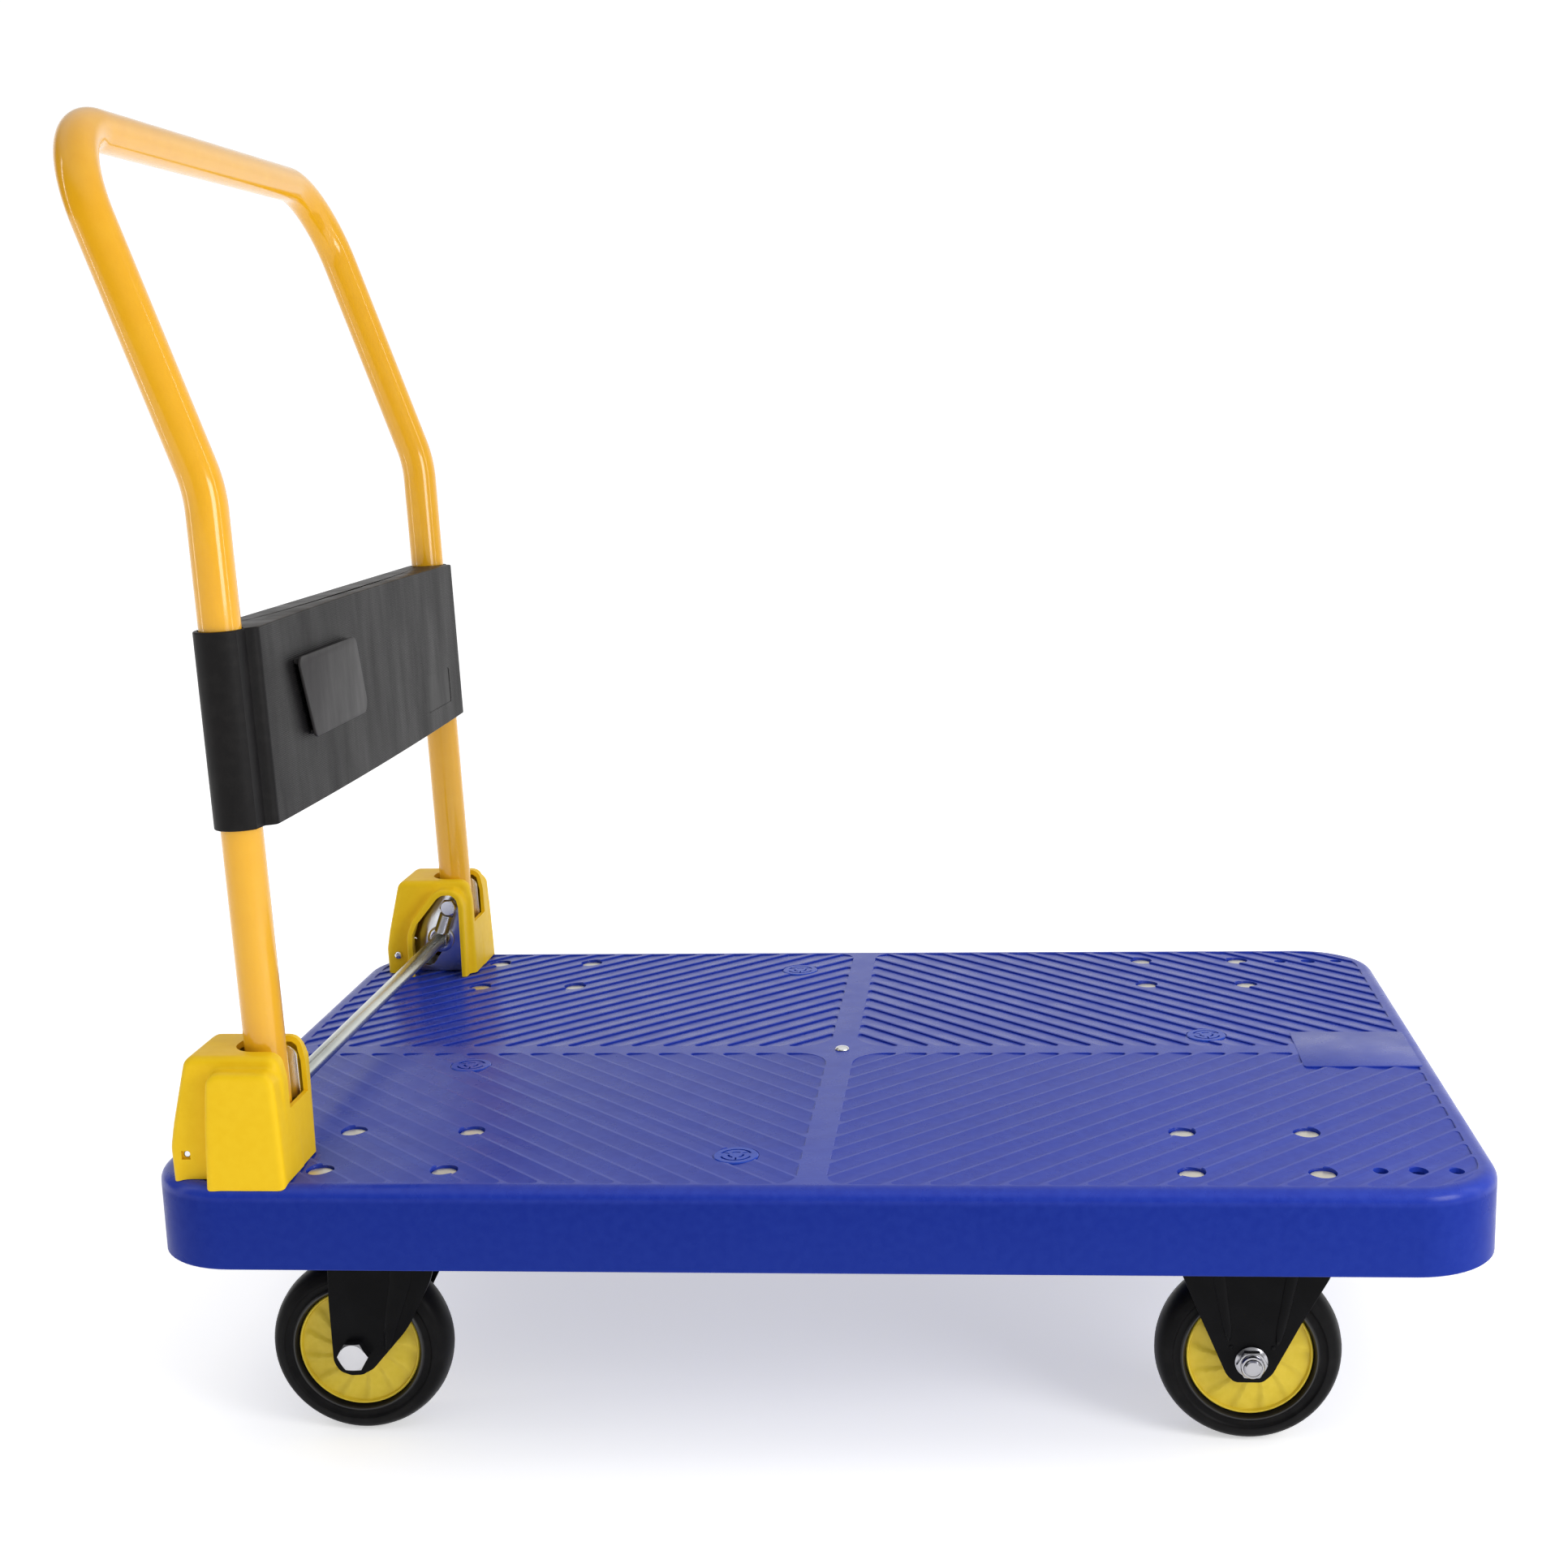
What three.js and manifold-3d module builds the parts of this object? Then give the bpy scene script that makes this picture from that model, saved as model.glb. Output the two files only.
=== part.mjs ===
// Folding platform cart: moulded deck, folding tube handle, foot release bar, two swivel casters
// at the handle end and two rigid casters at the front end.
// Millimetres, +Z up, +X towards the front end, +Y to the left of someone who pushes the cart.
// The origin is on the floor, under the centre of the whole cart.
import * as THREE from 'three';
import { mergeVertices } from 'three/addons/utils/BufferGeometryUtils.js';
import Module from 'manifold-3d';

const wasm = await Module();
wasm.setup();

// ---------------------------------------------------------------- driving dimensions
const contact_gap = 0.3; // between pieces that touch
const running_gap = 0.2; // radial, between a shaft and its hole

const deck_length = 900;
const deck_width = 600;
const deck_skirt_height = 58;
const deck_wall = 4;
const deck_corner_radius = 60;
const deck_edge_radius = 9;
const deck_pad_depth = 44.4; // deck top to the underside of its ribs
const rib_thickness = 3;
const rib_spacing = 90; // widest spacing of the ribs under the deck

const tread_pitch = 25.5; // along X or Y, from one slanting step to the next
const tread_first = 54; // |x| + |y| of the step nearest the centre
const tread_depth = 1.2;
const tread_slope = 21.5; // along X or Y, over which the surface sinks
const tread_strip = 10.5; // half width of the plain strip across the deck
const tread_seam = 9; // half width of the plain seam along the deck
const tread_margin = 17; // plain border inside the deck edge

const wheel_diameter = 127;
const tyre_width = 34;
const tyre_wall = 21.2; // from tread to the visible hub
const caster_inset = 158.3; // deck end to the caster's bolt pattern centre
const caster_edge = 75; // deck side to the caster's bolt pattern centre
const caster_hole_x = 85;
const caster_hole_y = 77;
const caster_trail = 33; // kingpin to axle
const caster_plate = 4;
const caster_race = 13;
const caster_crown = 3.5;
const tyre_clearance = 9.9; // tyre to crown
const fork_gap = 40;
const fork_wall = 3;
const axle_radius = 6;
const sleeve_wall = 2.5;
const mount_bolt_radius = 4;
const mount_head_radius = 8.7;
const mount_nut_radius = 7.3;
const mount_recess_radius = 10;
const mount_recess_depth = 2.5; // deck top to bolt head
const mount_strip = 2;

const tube_radius = 14;
const tube_wall = 2;
const post_edge = 46; // deck side to post centre
const pivot_inset = 82; // deck end to pivot
const pivot_height = 62; // above the deck top
const tube_tail = 22; // tube below the pivot
const lower_rise = 392; // pivot to bend, vertical
const lower_lean = 1.5; // degrees, outwards
const upper_rise = 229; // bend to top bar, vertical
const upper_lean = 18.8; // degrees, outwards
const bend_radius = 100;
const corner_radius = 65;

const bracket_plate = 3;
const post_clearance = 1; // post to each side plate
const bracket_lead = 3; // post surface to the bracket's front edge
const bracket_back = 40; // pivot to back edge
const bracket_top = 17; // pivot to top edge
const pivot_bolt_radius = 4;
const bar_radius = 6;
const washer_rim = 6; // bar surface to washer edge
const bar_back = 12; // release bar behind the pivot
const bar_drop = 32; // release bar below the pivot
const bar_travel_back = 12;
const bar_travel_down = 18;
const bar_overhang = 1.5; // bar beyond the outer side plate
const spring_radius = 5.75; // coil centre line
const spring_wire = 0.75; // wire radius
const spring_coils = 6;
const spring_offset = 9; // coil axis from the inner side plate

const cover_wall = 3;
const cover_outset = 2; // post centre to cover centre, outwards
const cover_width = 58;
const cover_pad_width = 84; // over both raised side panels
const cover_slot_gap = 5; // post to each side of the cover's slot
const cover_lip = 8; // post surface to the foot of the cover's front edge

const panel_bottom = 172; // pivot to panel, along the posts
const panel_height = 130;
const sleeve_thickness = 3.4; // panel sleeve round the post
const panel_step = 5.6; // sleeve to panel face
const panel_bow = 2.5; // top and bottom edges bow out by this much

const plug_radius = 15.5;

// ---------------------------------------------------------------- derived positions
const wheel_radius = wheel_diameter / 2;
const wheel_sides = 20; // facets round the tyre and the hub, which stay in step
const crown_bottom = wheel_diameter + tyre_clearance;
const crown_top = crown_bottom + caster_crown;
const race_bottom = crown_top + contact_gap;
const race_top = race_bottom + caster_race;
const plate_bottom = race_top + contact_gap;
const plate_top = plate_bottom + caster_plate;
const strip_bottom = plate_top + contact_gap;
const pad_bottom = strip_bottom + mount_strip + contact_gap;
const deck_top = pad_bottom + deck_pad_depth;
const skirt_bottom = deck_top - deck_skirt_height;
const half_length = deck_length / 2;
const half_width = deck_width / 2;
const caster_x = half_length - caster_inset;
const caster_offset = half_width - caster_edge;

const post_offset = half_width - post_edge;
const cover_centre = post_offset + cover_outset;
const bracket_gap = 2 * (tube_radius + post_clearance);
const bracket_front = tube_radius + bracket_lead; // pivot to front edge
const cover_slot = 2 * (tube_radius + cover_slot_gap);
const cover_pad_front = tube_radius + cover_lip; // pivot to the cover's front edge
const panel_sleeve = tube_radius + sleeve_thickness;
const panel_front = panel_sleeve + panel_step; // post centre to panel face
const pivot_x = -(half_length - pivot_inset);
const pivot_z = deck_top + pivot_height;
const bend_x = -lower_rise * Math.tan(THREE.MathUtils.degToRad(lower_lean));
const bar_x = bend_x - upper_rise * Math.tan(THREE.MathUtils.degToRad(upper_lean));
const plate_inner = post_offset - bracket_gap / 2 - bracket_plate; // inner plate's visible face
const plate_outer = post_offset + bracket_gap / 2 + bracket_plate;

const cart_back = pivot_x + bar_x - tube_radius;
const frame_shift = -(half_length + cart_back) / 2;

// ---------------------------------------------------------------- materials
const paint = (colour, roughness, metalness) =>
  new THREE.MeshStandardMaterial({ color: colour, roughness, metalness });
const deck_blue = () => paint(0x2b3fa3, 0.42, 0);
const cover_yellow = () => paint(0xf0cd2c, 0.45, 0);
const hub_yellow = () => paint(0xd9c238, 0.5, 0);
const tube_yellow = () => paint(0xf6bb38, 0.22, 0.1);
const panel_black = () => paint(0x343232, 0.6, 0);
const rubber_black = () => paint(0x161616, 0.7, 0);
const fork_black = () => paint(0x101010, 0.4, 0.3);
const zinc = () => paint(0xc9ccd0, 0.28, 0.95);
const bolt_cream = () => paint(0xc9c6bb, 0.4, 0.8);

// ---------------------------------------------------------------- solid helpers
function solid(geometry) {
  const bare = geometry.index ? geometry.toNonIndexed() : geometry.clone();
  bare.deleteAttribute('normal');
  bare.deleteAttribute('uv');
  const merged = mergeVertices(bare, 1e-4);
  return new wasm.Manifold(new wasm.Mesh({
    numProp: 3,
    vertProperties: new Float32Array(merged.attributes.position.array),
    triVerts: new Uint32Array(merged.index.array),
  }));
}

function geometry_of(body) {
  const mesh = body.simplify(0.002).getMesh();
  const geometry = new THREE.BufferGeometry();
  geometry.setAttribute('position', new THREE.BufferAttribute(mesh.vertProperties, 3));
  geometry.setIndex(new THREE.BufferAttribute(mesh.triVerts, 1));
  const faceted = geometry.toNonIndexed();
  faceted.computeVertexNormals();
  return faceted;
}

function named(name, geometry, material) {
  const mesh = new THREE.Mesh(geometry, material);
  mesh.name = name;
  return mesh;
}

const fused = (first, ...rest) => rest.reduce((whole, piece) => whole.add(piece), first);
const cut = (first, ...rest) => rest.reduce((whole, piece) => whole.subtract(piece), first);

// A box from its low corner to its high corner.
function block(x0, x1, y0, y1, z0, z1) {
  const geometry = new THREE.BoxGeometry(x1 - x0, y1 - y0, z1 - z0);
  return solid(geometry.translate((x0 + x1) / 2, (y0 + y1) / 2, (z0 + z1) / 2));
}

// A turned solid about Z from [radius, height] pairs, starting and ending on the axis or closed.
function turned_geometry(profile, sides) {
  const points = profile.map(([r, h]) => new THREE.Vector2(r, h));
  return new THREE.LatheGeometry(points, sides);
}
const turned_z = (profile, sides) => turned_geometry(profile, sides).rotateX(Math.PI / 2);
const rod_profile = (radius, low, high) => [[0, low], [radius, low], [radius, high], [0, high]];

// A round rod along Z or along Y.
const rod_z = (radius, low, high, sides = 20) => solid(turned_z(rod_profile(radius, low, high), sides));
const rod_y = (radius, low, high, sides = 24) =>
  solid(turned_geometry(rod_profile(radius, low, high), sides));

// A flat outline in X and Z, extruded along Y between two values, with an optional edge bevel.
function side_plate(outline, low, high, bevel = 0, steps = 2) {
  const shape = new THREE.Shape(outline.map(([x, z]) => new THREE.Vector2(x, z)));
  const geometry = new THREE.ExtrudeGeometry(shape, {
    depth: high - low - 2 * bevel,
    bevelEnabled: bevel > 0,
    bevelThickness: bevel,
    bevelSize: bevel,
    bevelOffset: -bevel,
    bevelSegments: steps,
    curveSegments: 6,
  });
  geometry.translate(0, 0, -high + bevel);
  return solid(geometry.rotateX(Math.PI / 2));
}

// A flat outline in X and Y, extruded up between two heights.
function flat_plate(shape, low, high, steps = 5) {
  const geometry = new THREE.ExtrudeGeometry(shape, {
    depth: high - low,
    bevelEnabled: false,
    curveSegments: steps,
  });
  return solid(geometry.translate(0, 0, low));
}

function rounded_rectangle(x0, x1, y0, y1, radius) {
  const shape = new THREE.Shape();
  shape.moveTo(x0 + radius, y0);
  shape.lineTo(x1 - radius, y0);
  shape.absarc(x1 - radius, y0 + radius, radius, -Math.PI / 2, 0);
  shape.lineTo(x1, y1 - radius);
  shape.absarc(x1 - radius, y1 - radius, radius, 0, Math.PI / 2);
  shape.lineTo(x0 + radius, y1);
  shape.absarc(x0 + radius, y1 - radius, radius, Math.PI / 2, Math.PI);
  shape.lineTo(x0, y0 + radius);
  shape.absarc(x0 + radius, y0 + radius, radius, Math.PI, Math.PI * 1.5);
  return shape;
}

// A hexagonal head or nut about Y, flats_width across flats.
function hexagon_y(flats_width, low, high) {
  const radius = flats_width / 2 / Math.cos(Math.PI / 6);
  return solid(turned_geometry(rod_profile(radius, low, high), 6));
}

// A path that knows its own stations, so that straight runs need no rings between their ends.
class StationPath extends THREE.Curve {
  constructor(points, tangents) {
    super();
    this.points = points;
    this.tangents = tangents;
  }
  station(u) {
    return Math.round(u * (this.points.length - 1));
  }
  getPoint(u, target = new THREE.Vector3()) {
    return target.copy(this.points[this.station(u)]);
  }
  getPointAt(u, target) {
    return this.getPoint(u, target);
  }
  getTangent(u, target = new THREE.Vector3()) {
    return target.copy(this.tangents[this.station(u)]);
  }
  getTangentAt(u, target) {
    return this.getTangent(u, target);
  }
}

function swept(shape, path, curve_segments) {
  return new THREE.ExtrudeGeometry(shape, {
    steps: path.points.length - 1,
    extrudePath: path,
    bevelEnabled: false,
    curveSegments: curve_segments,
  });
}

// ---------------------------------------------------------------- deck
function deck_envelope(grow) {
  const inset = deck_edge_radius;
  const shape = rounded_rectangle(
    -half_length + inset,
    half_length - inset,
    -half_width + inset,
    half_width - inset,
    deck_corner_radius - inset,
  );
  const geometry = new THREE.ExtrudeGeometry(shape, {
    depth: deck_skirt_height - deck_edge_radius,
    bevelThickness: deck_edge_radius + grow,
    bevelSize: deck_edge_radius + grow,
    bevelSegments: 3,
    curveSegments: 3,
  });
  return solid(geometry.translate(0, 0, skirt_bottom));
}

function deck_cavity() {
  const shape = rounded_rectangle(
    -half_length + deck_wall,
    half_length - deck_wall,
    -half_width + deck_wall,
    half_width - deck_wall,
    deck_corner_radius - deck_wall,
  );
  return flat_plate(shape, skirt_bottom - 1, deck_top - deck_wall, 3);
}

// Middles of the ribs that divide a width of 2 * reach into the fewest equal cells.
function rib_places(reach) {
  const cells = Math.ceil((2 * reach) / rib_spacing);
  const pitch = (2 * reach) / cells;
  return Array.from({ length: cells - 1 }, (_, i) => -reach + (i + 1) * pitch);
}

// Grid of ribs under the deck.
function deck_ribs() {
  const low = pad_bottom;
  const high = deck_top - deck_wall / 2;
  const half = rib_thickness / 2;
  const reach_x = half_length - deck_wall / 2;
  const reach_y = half_width - deck_wall / 2;
  const cross = rib_places(reach_x).map((x) =>
    block(x - half, x + half, -reach_y, reach_y, low, high));
  const long = rib_places(reach_y).map((y) =>
    block(-reach_x, reach_x, y - half, y + half, low, high));
  return fused(...cross, ...long);
}

const caster_spots = [
  { end: 'rear', side: 'left', x: -caster_x, y: caster_offset },
  { end: 'rear', side: 'right', x: -caster_x, y: -caster_offset },
  { end: 'front', side: 'left', x: caster_x, y: caster_offset },
  { end: 'front', side: 'right', x: caster_x, y: -caster_offset },
];

function pattern_points(centre_x, centre_y, spacing_x, spacing_y) {
  const points = [];
  for (const sx of [-1, 1]) {
    for (const sy of [-1, 1]) {
      points.push([centre_x + (sx * spacing_x) / 2, centre_y + (sy * spacing_y) / 2]);
    }
  }
  return points;
}

const mount_points = caster_spots.flatMap((spot) =>
  pattern_points(spot.x, spot.y, caster_hole_x, caster_hole_y));

const foot_bolt_x = pivot_x + 2;
const foot_bolt_spacing = 15;
const foot_bolt_radius = 3;
const foot_points = [-1, 1].flatMap((side) =>
  [-1, 1].map((step) => [foot_bolt_x, side * post_offset + (step * foot_bolt_spacing) / 2]));

const plug_points = [
  [-(half_length - 163.5), -38],
  [half_length - 163.5, 38],
  [-55, half_width - 65],
  [-55, -(half_width - 65)],
];
const plug_depth = 6;
const stud_radius = 3;
const stud_depth = 12;

const drain_insets = [78, 53.5, 29]; // from the front end
const drain_radii = [5, 6.5, 5];
const drain_offset = half_width - 40.5;

// One slanting tread step: the surface sinks slowly away from the centre, then steps back up.
function tread_step(reach, sign_x, sign_y) {
  const low = tread_strip;
  const seam = tread_seam;
  const inner = Math.max(reach - tread_slope, low + seam + 1);
  if (reach - seam <= low) return null;
  const top = deck_top + 0.5;
  const sunk = deck_top - tread_depth;
  const corners = [
    [low, inner - low, deck_top],
    [inner - seam, seam, deck_top],
    [reach - seam, seam, sunk],
    [low, reach - low, sunk],
  ];
  const lower = corners.map(([x, y, z]) => new THREE.Vector3(sign_x * x, sign_y * y, z));
  const upper = corners.map(([x, y]) => new THREE.Vector3(sign_x * x, sign_y * y, top));
  const order = sign_x * sign_y > 0 ? [0, 1, 2, 3] : [3, 2, 1, 0];
  return wedge(order.map((i) => lower[i]), order.map((i) => upper[i]));
}

// A closed solid between a lower and an upper ring of four points, both anticlockwise from above.
function wedge(lower, upper) {
  const shape = new THREE.Shape(lower.map((p) => new THREE.Vector2(p.x, p.y)));
  const geometry = new THREE.ExtrudeGeometry(shape, { depth: 1, bevelEnabled: false });
  const position = geometry.attributes.position;
  for (let i = 0; i < position.count; i += 1) {
    const ring = position.getZ(i) < 0.5 ? lower : upper;
    const near = ring.reduce((best, p) =>
      (Math.hypot(p.x - position.getX(i), p.y - position.getY(i)) <
      Math.hypot(best.x - position.getX(i), best.y - position.getY(i)) ? p : best));
    position.setZ(i, near.z);
  }
  return solid(geometry);
}

function deck_tread() {
  const steps = [];
  const furthest = half_length + half_width;
  for (let reach = tread_first; reach < furthest; reach += tread_pitch) {
    for (const [sx, sy] of [[1, 1], [-1, 1], [-1, -1], [1, -1]]) {
      const step = tread_step(reach, sx, sy);
      if (step) steps.push(step);
    }
  }
  const high = deck_top + 1;
  const low = deck_top - tread_depth - 1;
  const field = block(
    -half_length + tread_margin,
    half_length - tread_margin,
    -half_width + tread_margin,
    half_width - tread_margin,
    low,
    high,
  );
  const plain = [block(half_length - 100, half_length, -45, 45, low, high)];
  for (const [x, y] of plug_points) plain.push(rod_z(plug_radius + 4, low, high, 12).translate([x, y, 0]));
  for (const side of [-1, 1]) {
    const y = side * cover_centre;
    const reach = cover_pad_width / 2 + 3;
    plain.push(block(-half_length, pivot_x + cover_pad_front + 4, y - reach, y + reach, low, high));
  }
  return cut(fused(...steps).intersect(field), ...plain);
}

function deck() {
  const inside = deck_envelope(0).intersect(
    block(-half_length - 1, half_length + 1, -half_width - 1, half_width + 1, skirt_bottom, deck_top + 1),
  );
  const skin_low = deck_top - deck_wall / 2;
  const boss = mount_recess_radius + 3;
  const bosses = mount_points.map(([x, y]) =>
    block(x - boss, x + boss, y - boss, y + boss, pad_bottom, skin_low));
  const foot_pads = [-1, 1].map((side) =>
    block(foot_bolt_x - 9, foot_bolt_x + 9, side * post_offset - 20, side * post_offset + 20, pad_bottom, skin_low));
  const plug_seats = plug_points.map(([x, y]) =>
    rod_z(plug_radius + 3, deck_top - plug_depth - 3, skin_low, 10).translate([x, y, 0]));
  const stud_seat = rod_z(stud_radius + 4, deck_top - stud_depth - 3, skin_low, 8);
  const whole = fused(
    inside.subtract(deck_cavity()),
    deck_ribs(),
    ...bosses,
    ...foot_pads,
    ...plug_seats,
    stud_seat,
  ).intersect(inside);
  const head_seat = deck_top - mount_recess_depth - 3 - contact_gap;
  const holes = mount_points.flatMap(([x, y]) => [
    rod_z(mount_recess_radius, head_seat, deck_top + 1, 8).translate([x, y, 0]),
    rod_z(mount_bolt_radius + contact_gap, pad_bottom - 1, deck_top, 6).translate([x, y, 0]),
  ]);
  for (const [x, y] of foot_points) {
    holes.push(rod_z(foot_bolt_radius + contact_gap, pad_bottom - 1, deck_top + 1, 8).translate([x, y, 0]));
  }
  for (const [x, y] of plug_points) {
    holes.push(rod_z(plug_radius + contact_gap, deck_top - plug_depth, deck_top + 1, 16).translate([x, y, 0]));
  }
  holes.push(rod_z(stud_radius + contact_gap, deck_top - stud_depth, deck_top + 1, 8));
  drain_insets.forEach((inset, i) => {
    for (const side of [-1, 1]) {
      const drain = rod_z(drain_radii[i], deck_top - 12, deck_top + 1, 10);
      holes.push(drain.translate([half_length - inset, side * drain_offset, 0]));
    }
  });
  return cut(whole, deck_tread(), ...holes);
}

function plug_geometry() {
  const r = plug_radius;
  const low = -plug_depth + contact_gap;
  return turned_z([
    [0, low], [r, low], [r, 0], [r - 3, 0], [r - 4.5, -1], [r - 6, 0], [0, 0],
  ], 16);
}

function stud_geometry() {
  const r = stud_radius;
  return turned_z([
    [0, -stud_depth + contact_gap], [r, -stud_depth + contact_gap], [r, contact_gap],
    [r + 2.6, contact_gap], [r + 1.6, 2], [0, 2.7],
  ], 8);
}

// Four bolts of one caster, tied together by the plate that backs the deck ribs.
function mount_bolts() {
  const spots = pattern_points(0, 0, caster_hole_x, caster_hole_y);
  const head_top = deck_top - mount_recess_depth;
  const nut_low = plate_bottom - contact_gap - 5;
  const frame_x = caster_hole_x / 2 + 10;
  const frame_y = caster_hole_y / 2 + 10;
  const frame_top = strip_bottom + mount_strip;
  const frame = block(-frame_x, frame_x, -frame_y, frame_y, strip_bottom, frame_top)
    .subtract(block(20 - frame_x, frame_x - 20, 20 - frame_y, frame_y - 20, strip_bottom - 1, frame_top + 1));
  const bolts = spots.map(([x, y]) => {
    const shank = rod_z(mount_bolt_radius, nut_low - 2, head_top - 2, 6);
    const head = rod_z(mount_head_radius, head_top - 3, head_top, 8);
    const nut = rod_z(mount_nut_radius, nut_low, plate_bottom - contact_gap, 6);
    return fused(shank, head, nut).translate([x, y, 0]);
  });
  return fused(frame, ...bolts);
}

// ---------------------------------------------------------------- casters
function mount_plate() {
  const shape = rounded_rectangle(
    -caster_hole_x / 2 - 12.5,
    caster_hole_x / 2 + 12.5,
    -caster_hole_y / 2 - 11.5,
    caster_hole_y / 2 + 11.5,
    7,
  );
  const holes = pattern_points(0, 0, caster_hole_x, caster_hole_y).map(([x, y]) =>
    rod_z(mount_bolt_radius + contact_gap, plate_bottom - 1, plate_top + 1, 6).translate([x, y, 0]));
  return cut(flat_plate(shape, plate_bottom, plate_top, 2), ...holes);
}

const kingpin_radius = 6;
const kingpin_head = 10;

function swivel_plate() {
  return mount_plate().subtract(
    rod_z(kingpin_radius + contact_gap, plate_bottom - 1, plate_top + 1, 10),
  );
}

function kingpin_geometry() {
  const under = crown_bottom - contact_gap;
  const over = plate_top + contact_gap;
  return turned_z([
    [0, under - 6.5], [kingpin_head - 2, under - 6.5], [kingpin_head, under - 4.5],
    [kingpin_head, under], [kingpin_radius, under], [kingpin_radius, over],
    [kingpin_radius + 3, over], [kingpin_radius + 2, over + 1.6], [0, over + 1.6],
  ], 10);
}

function race_geometry() {
  const bore = kingpin_radius + contact_gap;
  const r = 30;
  return turned_z([
    [bore, race_bottom], [r - 5, race_bottom], [r, race_bottom + 5.5],
    [r, race_top - 2], [r - 2, race_top], [bore, race_top], [bore, race_bottom],
  ], 16);
}

const axle_hole = () => rod_y(axle_radius + contact_gap, -60, 60, 12);

// Swivel fork, with its kingpin on the origin's axis and its axle behind it.
function swivel_fork() {
  const trail = caster_trail;
  const r = wheel_radius;
  const outline = [
    [-48, crown_top], [-49.5, r + 38], [-trail - 16, r - 7], [-trail - 12, r - 14],
    [-trail - 4, r - 17], [-trail + 4, r - 16.5], [-trail + 12, r - 12], [5, r + 18],
    [23, r + 53], [30, crown_top],
  ];
  const reach = fork_gap / 2 + fork_wall;
  const inner = fork_gap / 2;
  const cheeks = [[-reach, -inner], [inner, reach]].map(([a, b]) => side_plate(outline, a, b));
  const ridges = [-1, 1].map((side) => {
    const a = side > 0 ? reach - 0.5 : -reach - 1.6;
    const ridge = [[-4, crown_top - 4], [-15, r + 12], [-11, r + 4], [-6, r + 12], [12, crown_top - 4]];
    return side_plate(ridge, a, a + 2.1);
  });
  const crown_shape = new THREE.Shape([
    [-48, -reach], [14, -reach], [30, -reach + 8], [33, 0], [30, reach - 8], [14, reach], [-48, reach],
  ].map(([x, y]) => new THREE.Vector2(x, y)));
  const crown = flat_plate(crown_shape, crown_bottom, crown_top);
  const bore = rod_z(kingpin_radius + running_gap, crown_bottom - 1, crown_top + 1, 16);
  const whole = fused(crown, ...cheeks, ...ridges);
  return cut(whole, bore, axle_hole().translate([-trail, 0, r]));
}

// Rigid fork, pressed in one with its top plate, with its axle under the origin.
function rigid_fork() {
  const r = wheel_radius;
  const top = plate_bottom + 1;
  const outline = [
    [-50, top], [-48, top - 26], [-34, r + 31], [-16.5, r - 10], [-11, r - 15.5], [8, r - 15.5],
    [14.5, r - 9.5], [33, r + 27], [52, r + 61], [54, top],
  ];
  const reach = fork_gap / 2 + fork_wall;
  const inner = fork_gap / 2;
  const cheeks = [[-reach, -inner], [inner, reach]].map(([a, b]) => side_plate(outline, a, b));
  const ribs = [-1, 1].flatMap((side) => {
    const a = side > 0 ? reach - 0.5 : -reach - 1.6;
    const left = [[-29, top], [-20, r + 22], [-15, r + 14], [-13, r + 24], [-21, top]];
    const right = [[25, top], [18, r + 24], [19, r + 12], [25, r + 22], [34, top]];
    return [side_plate(left, a, a + 2.1), side_plate(right, a, a + 2.1)];
  });
  const whole = fused(mount_plate(), ...cheeks, ...ribs);
  return cut(whole, axle_hole().translate([0, 0, r]));
}

function tyre_geometry() {
  const r = wheel_radius;
  const half = tyre_width / 2;
  const rim = r - tyre_wall;
  return turned_geometry([
    [rim, -half + 1.5], [rim + 1.5, -half], [r - 5, -half + 1], [r - 1, -half + 6], [r, 0],
    [r - 1, half - 6], [r - 5, half - 1], [rim + 1.5, half], [rim, half - 1.5],
    [rim, half - 4], [rim + 3, half - 5], [rim + 3, -half + 5], [rim, -half + 4], [rim, -half + 1.5],
  ], wheel_sides);
}

function hub_geometry() {
  const half = tyre_width / 2;
  const rim = wheel_radius - tyre_wall - contact_gap;
  const bore = axle_radius + sleeve_wall + 2 * running_gap;
  const boss = fork_gap / 2 - 0.6;
  const side = [
    [bore, boss], [bore + 5, boss], [bore + 6.5, half - 5.5], [rim, half - 4.6], [rim + 3, half - 5.6],
  ];
  const other = side.map(([radius, y]) => [radius, -y]).reverse();
  return turned_geometry([...side, ...other, side[0]].reverse(), wheel_sides);
}

function sleeve_geometry() {
  const inner = axle_radius + running_gap;
  const outer = axle_radius + sleeve_wall + running_gap;
  const half = fork_gap / 2 - contact_gap;
  return turned_geometry([[inner, -half], [outer, -half], [outer, half], [inner, half], [inner, -half]], 12);
}

// Axle bolt with its head on the +Y side of the fork.
function axle_bolt() {
  const seat = fork_gap / 2 + fork_wall + contact_gap;
  return fused(
    rod_y(axle_radius, -seat - 12, seat + 1, 12),
    hexagon_y(19, seat, seat + 7.5),
  );
}

function axle_nut() {
  const seat = fork_gap / 2 + fork_wall + contact_gap;
  const body = fused(hexagon_y(18, -seat - 10, -seat), rod_y(11, -seat - 2, -seat, 12));
  return body.subtract(rod_y(axle_radius + contact_gap, -60, 0, 12));
}

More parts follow.
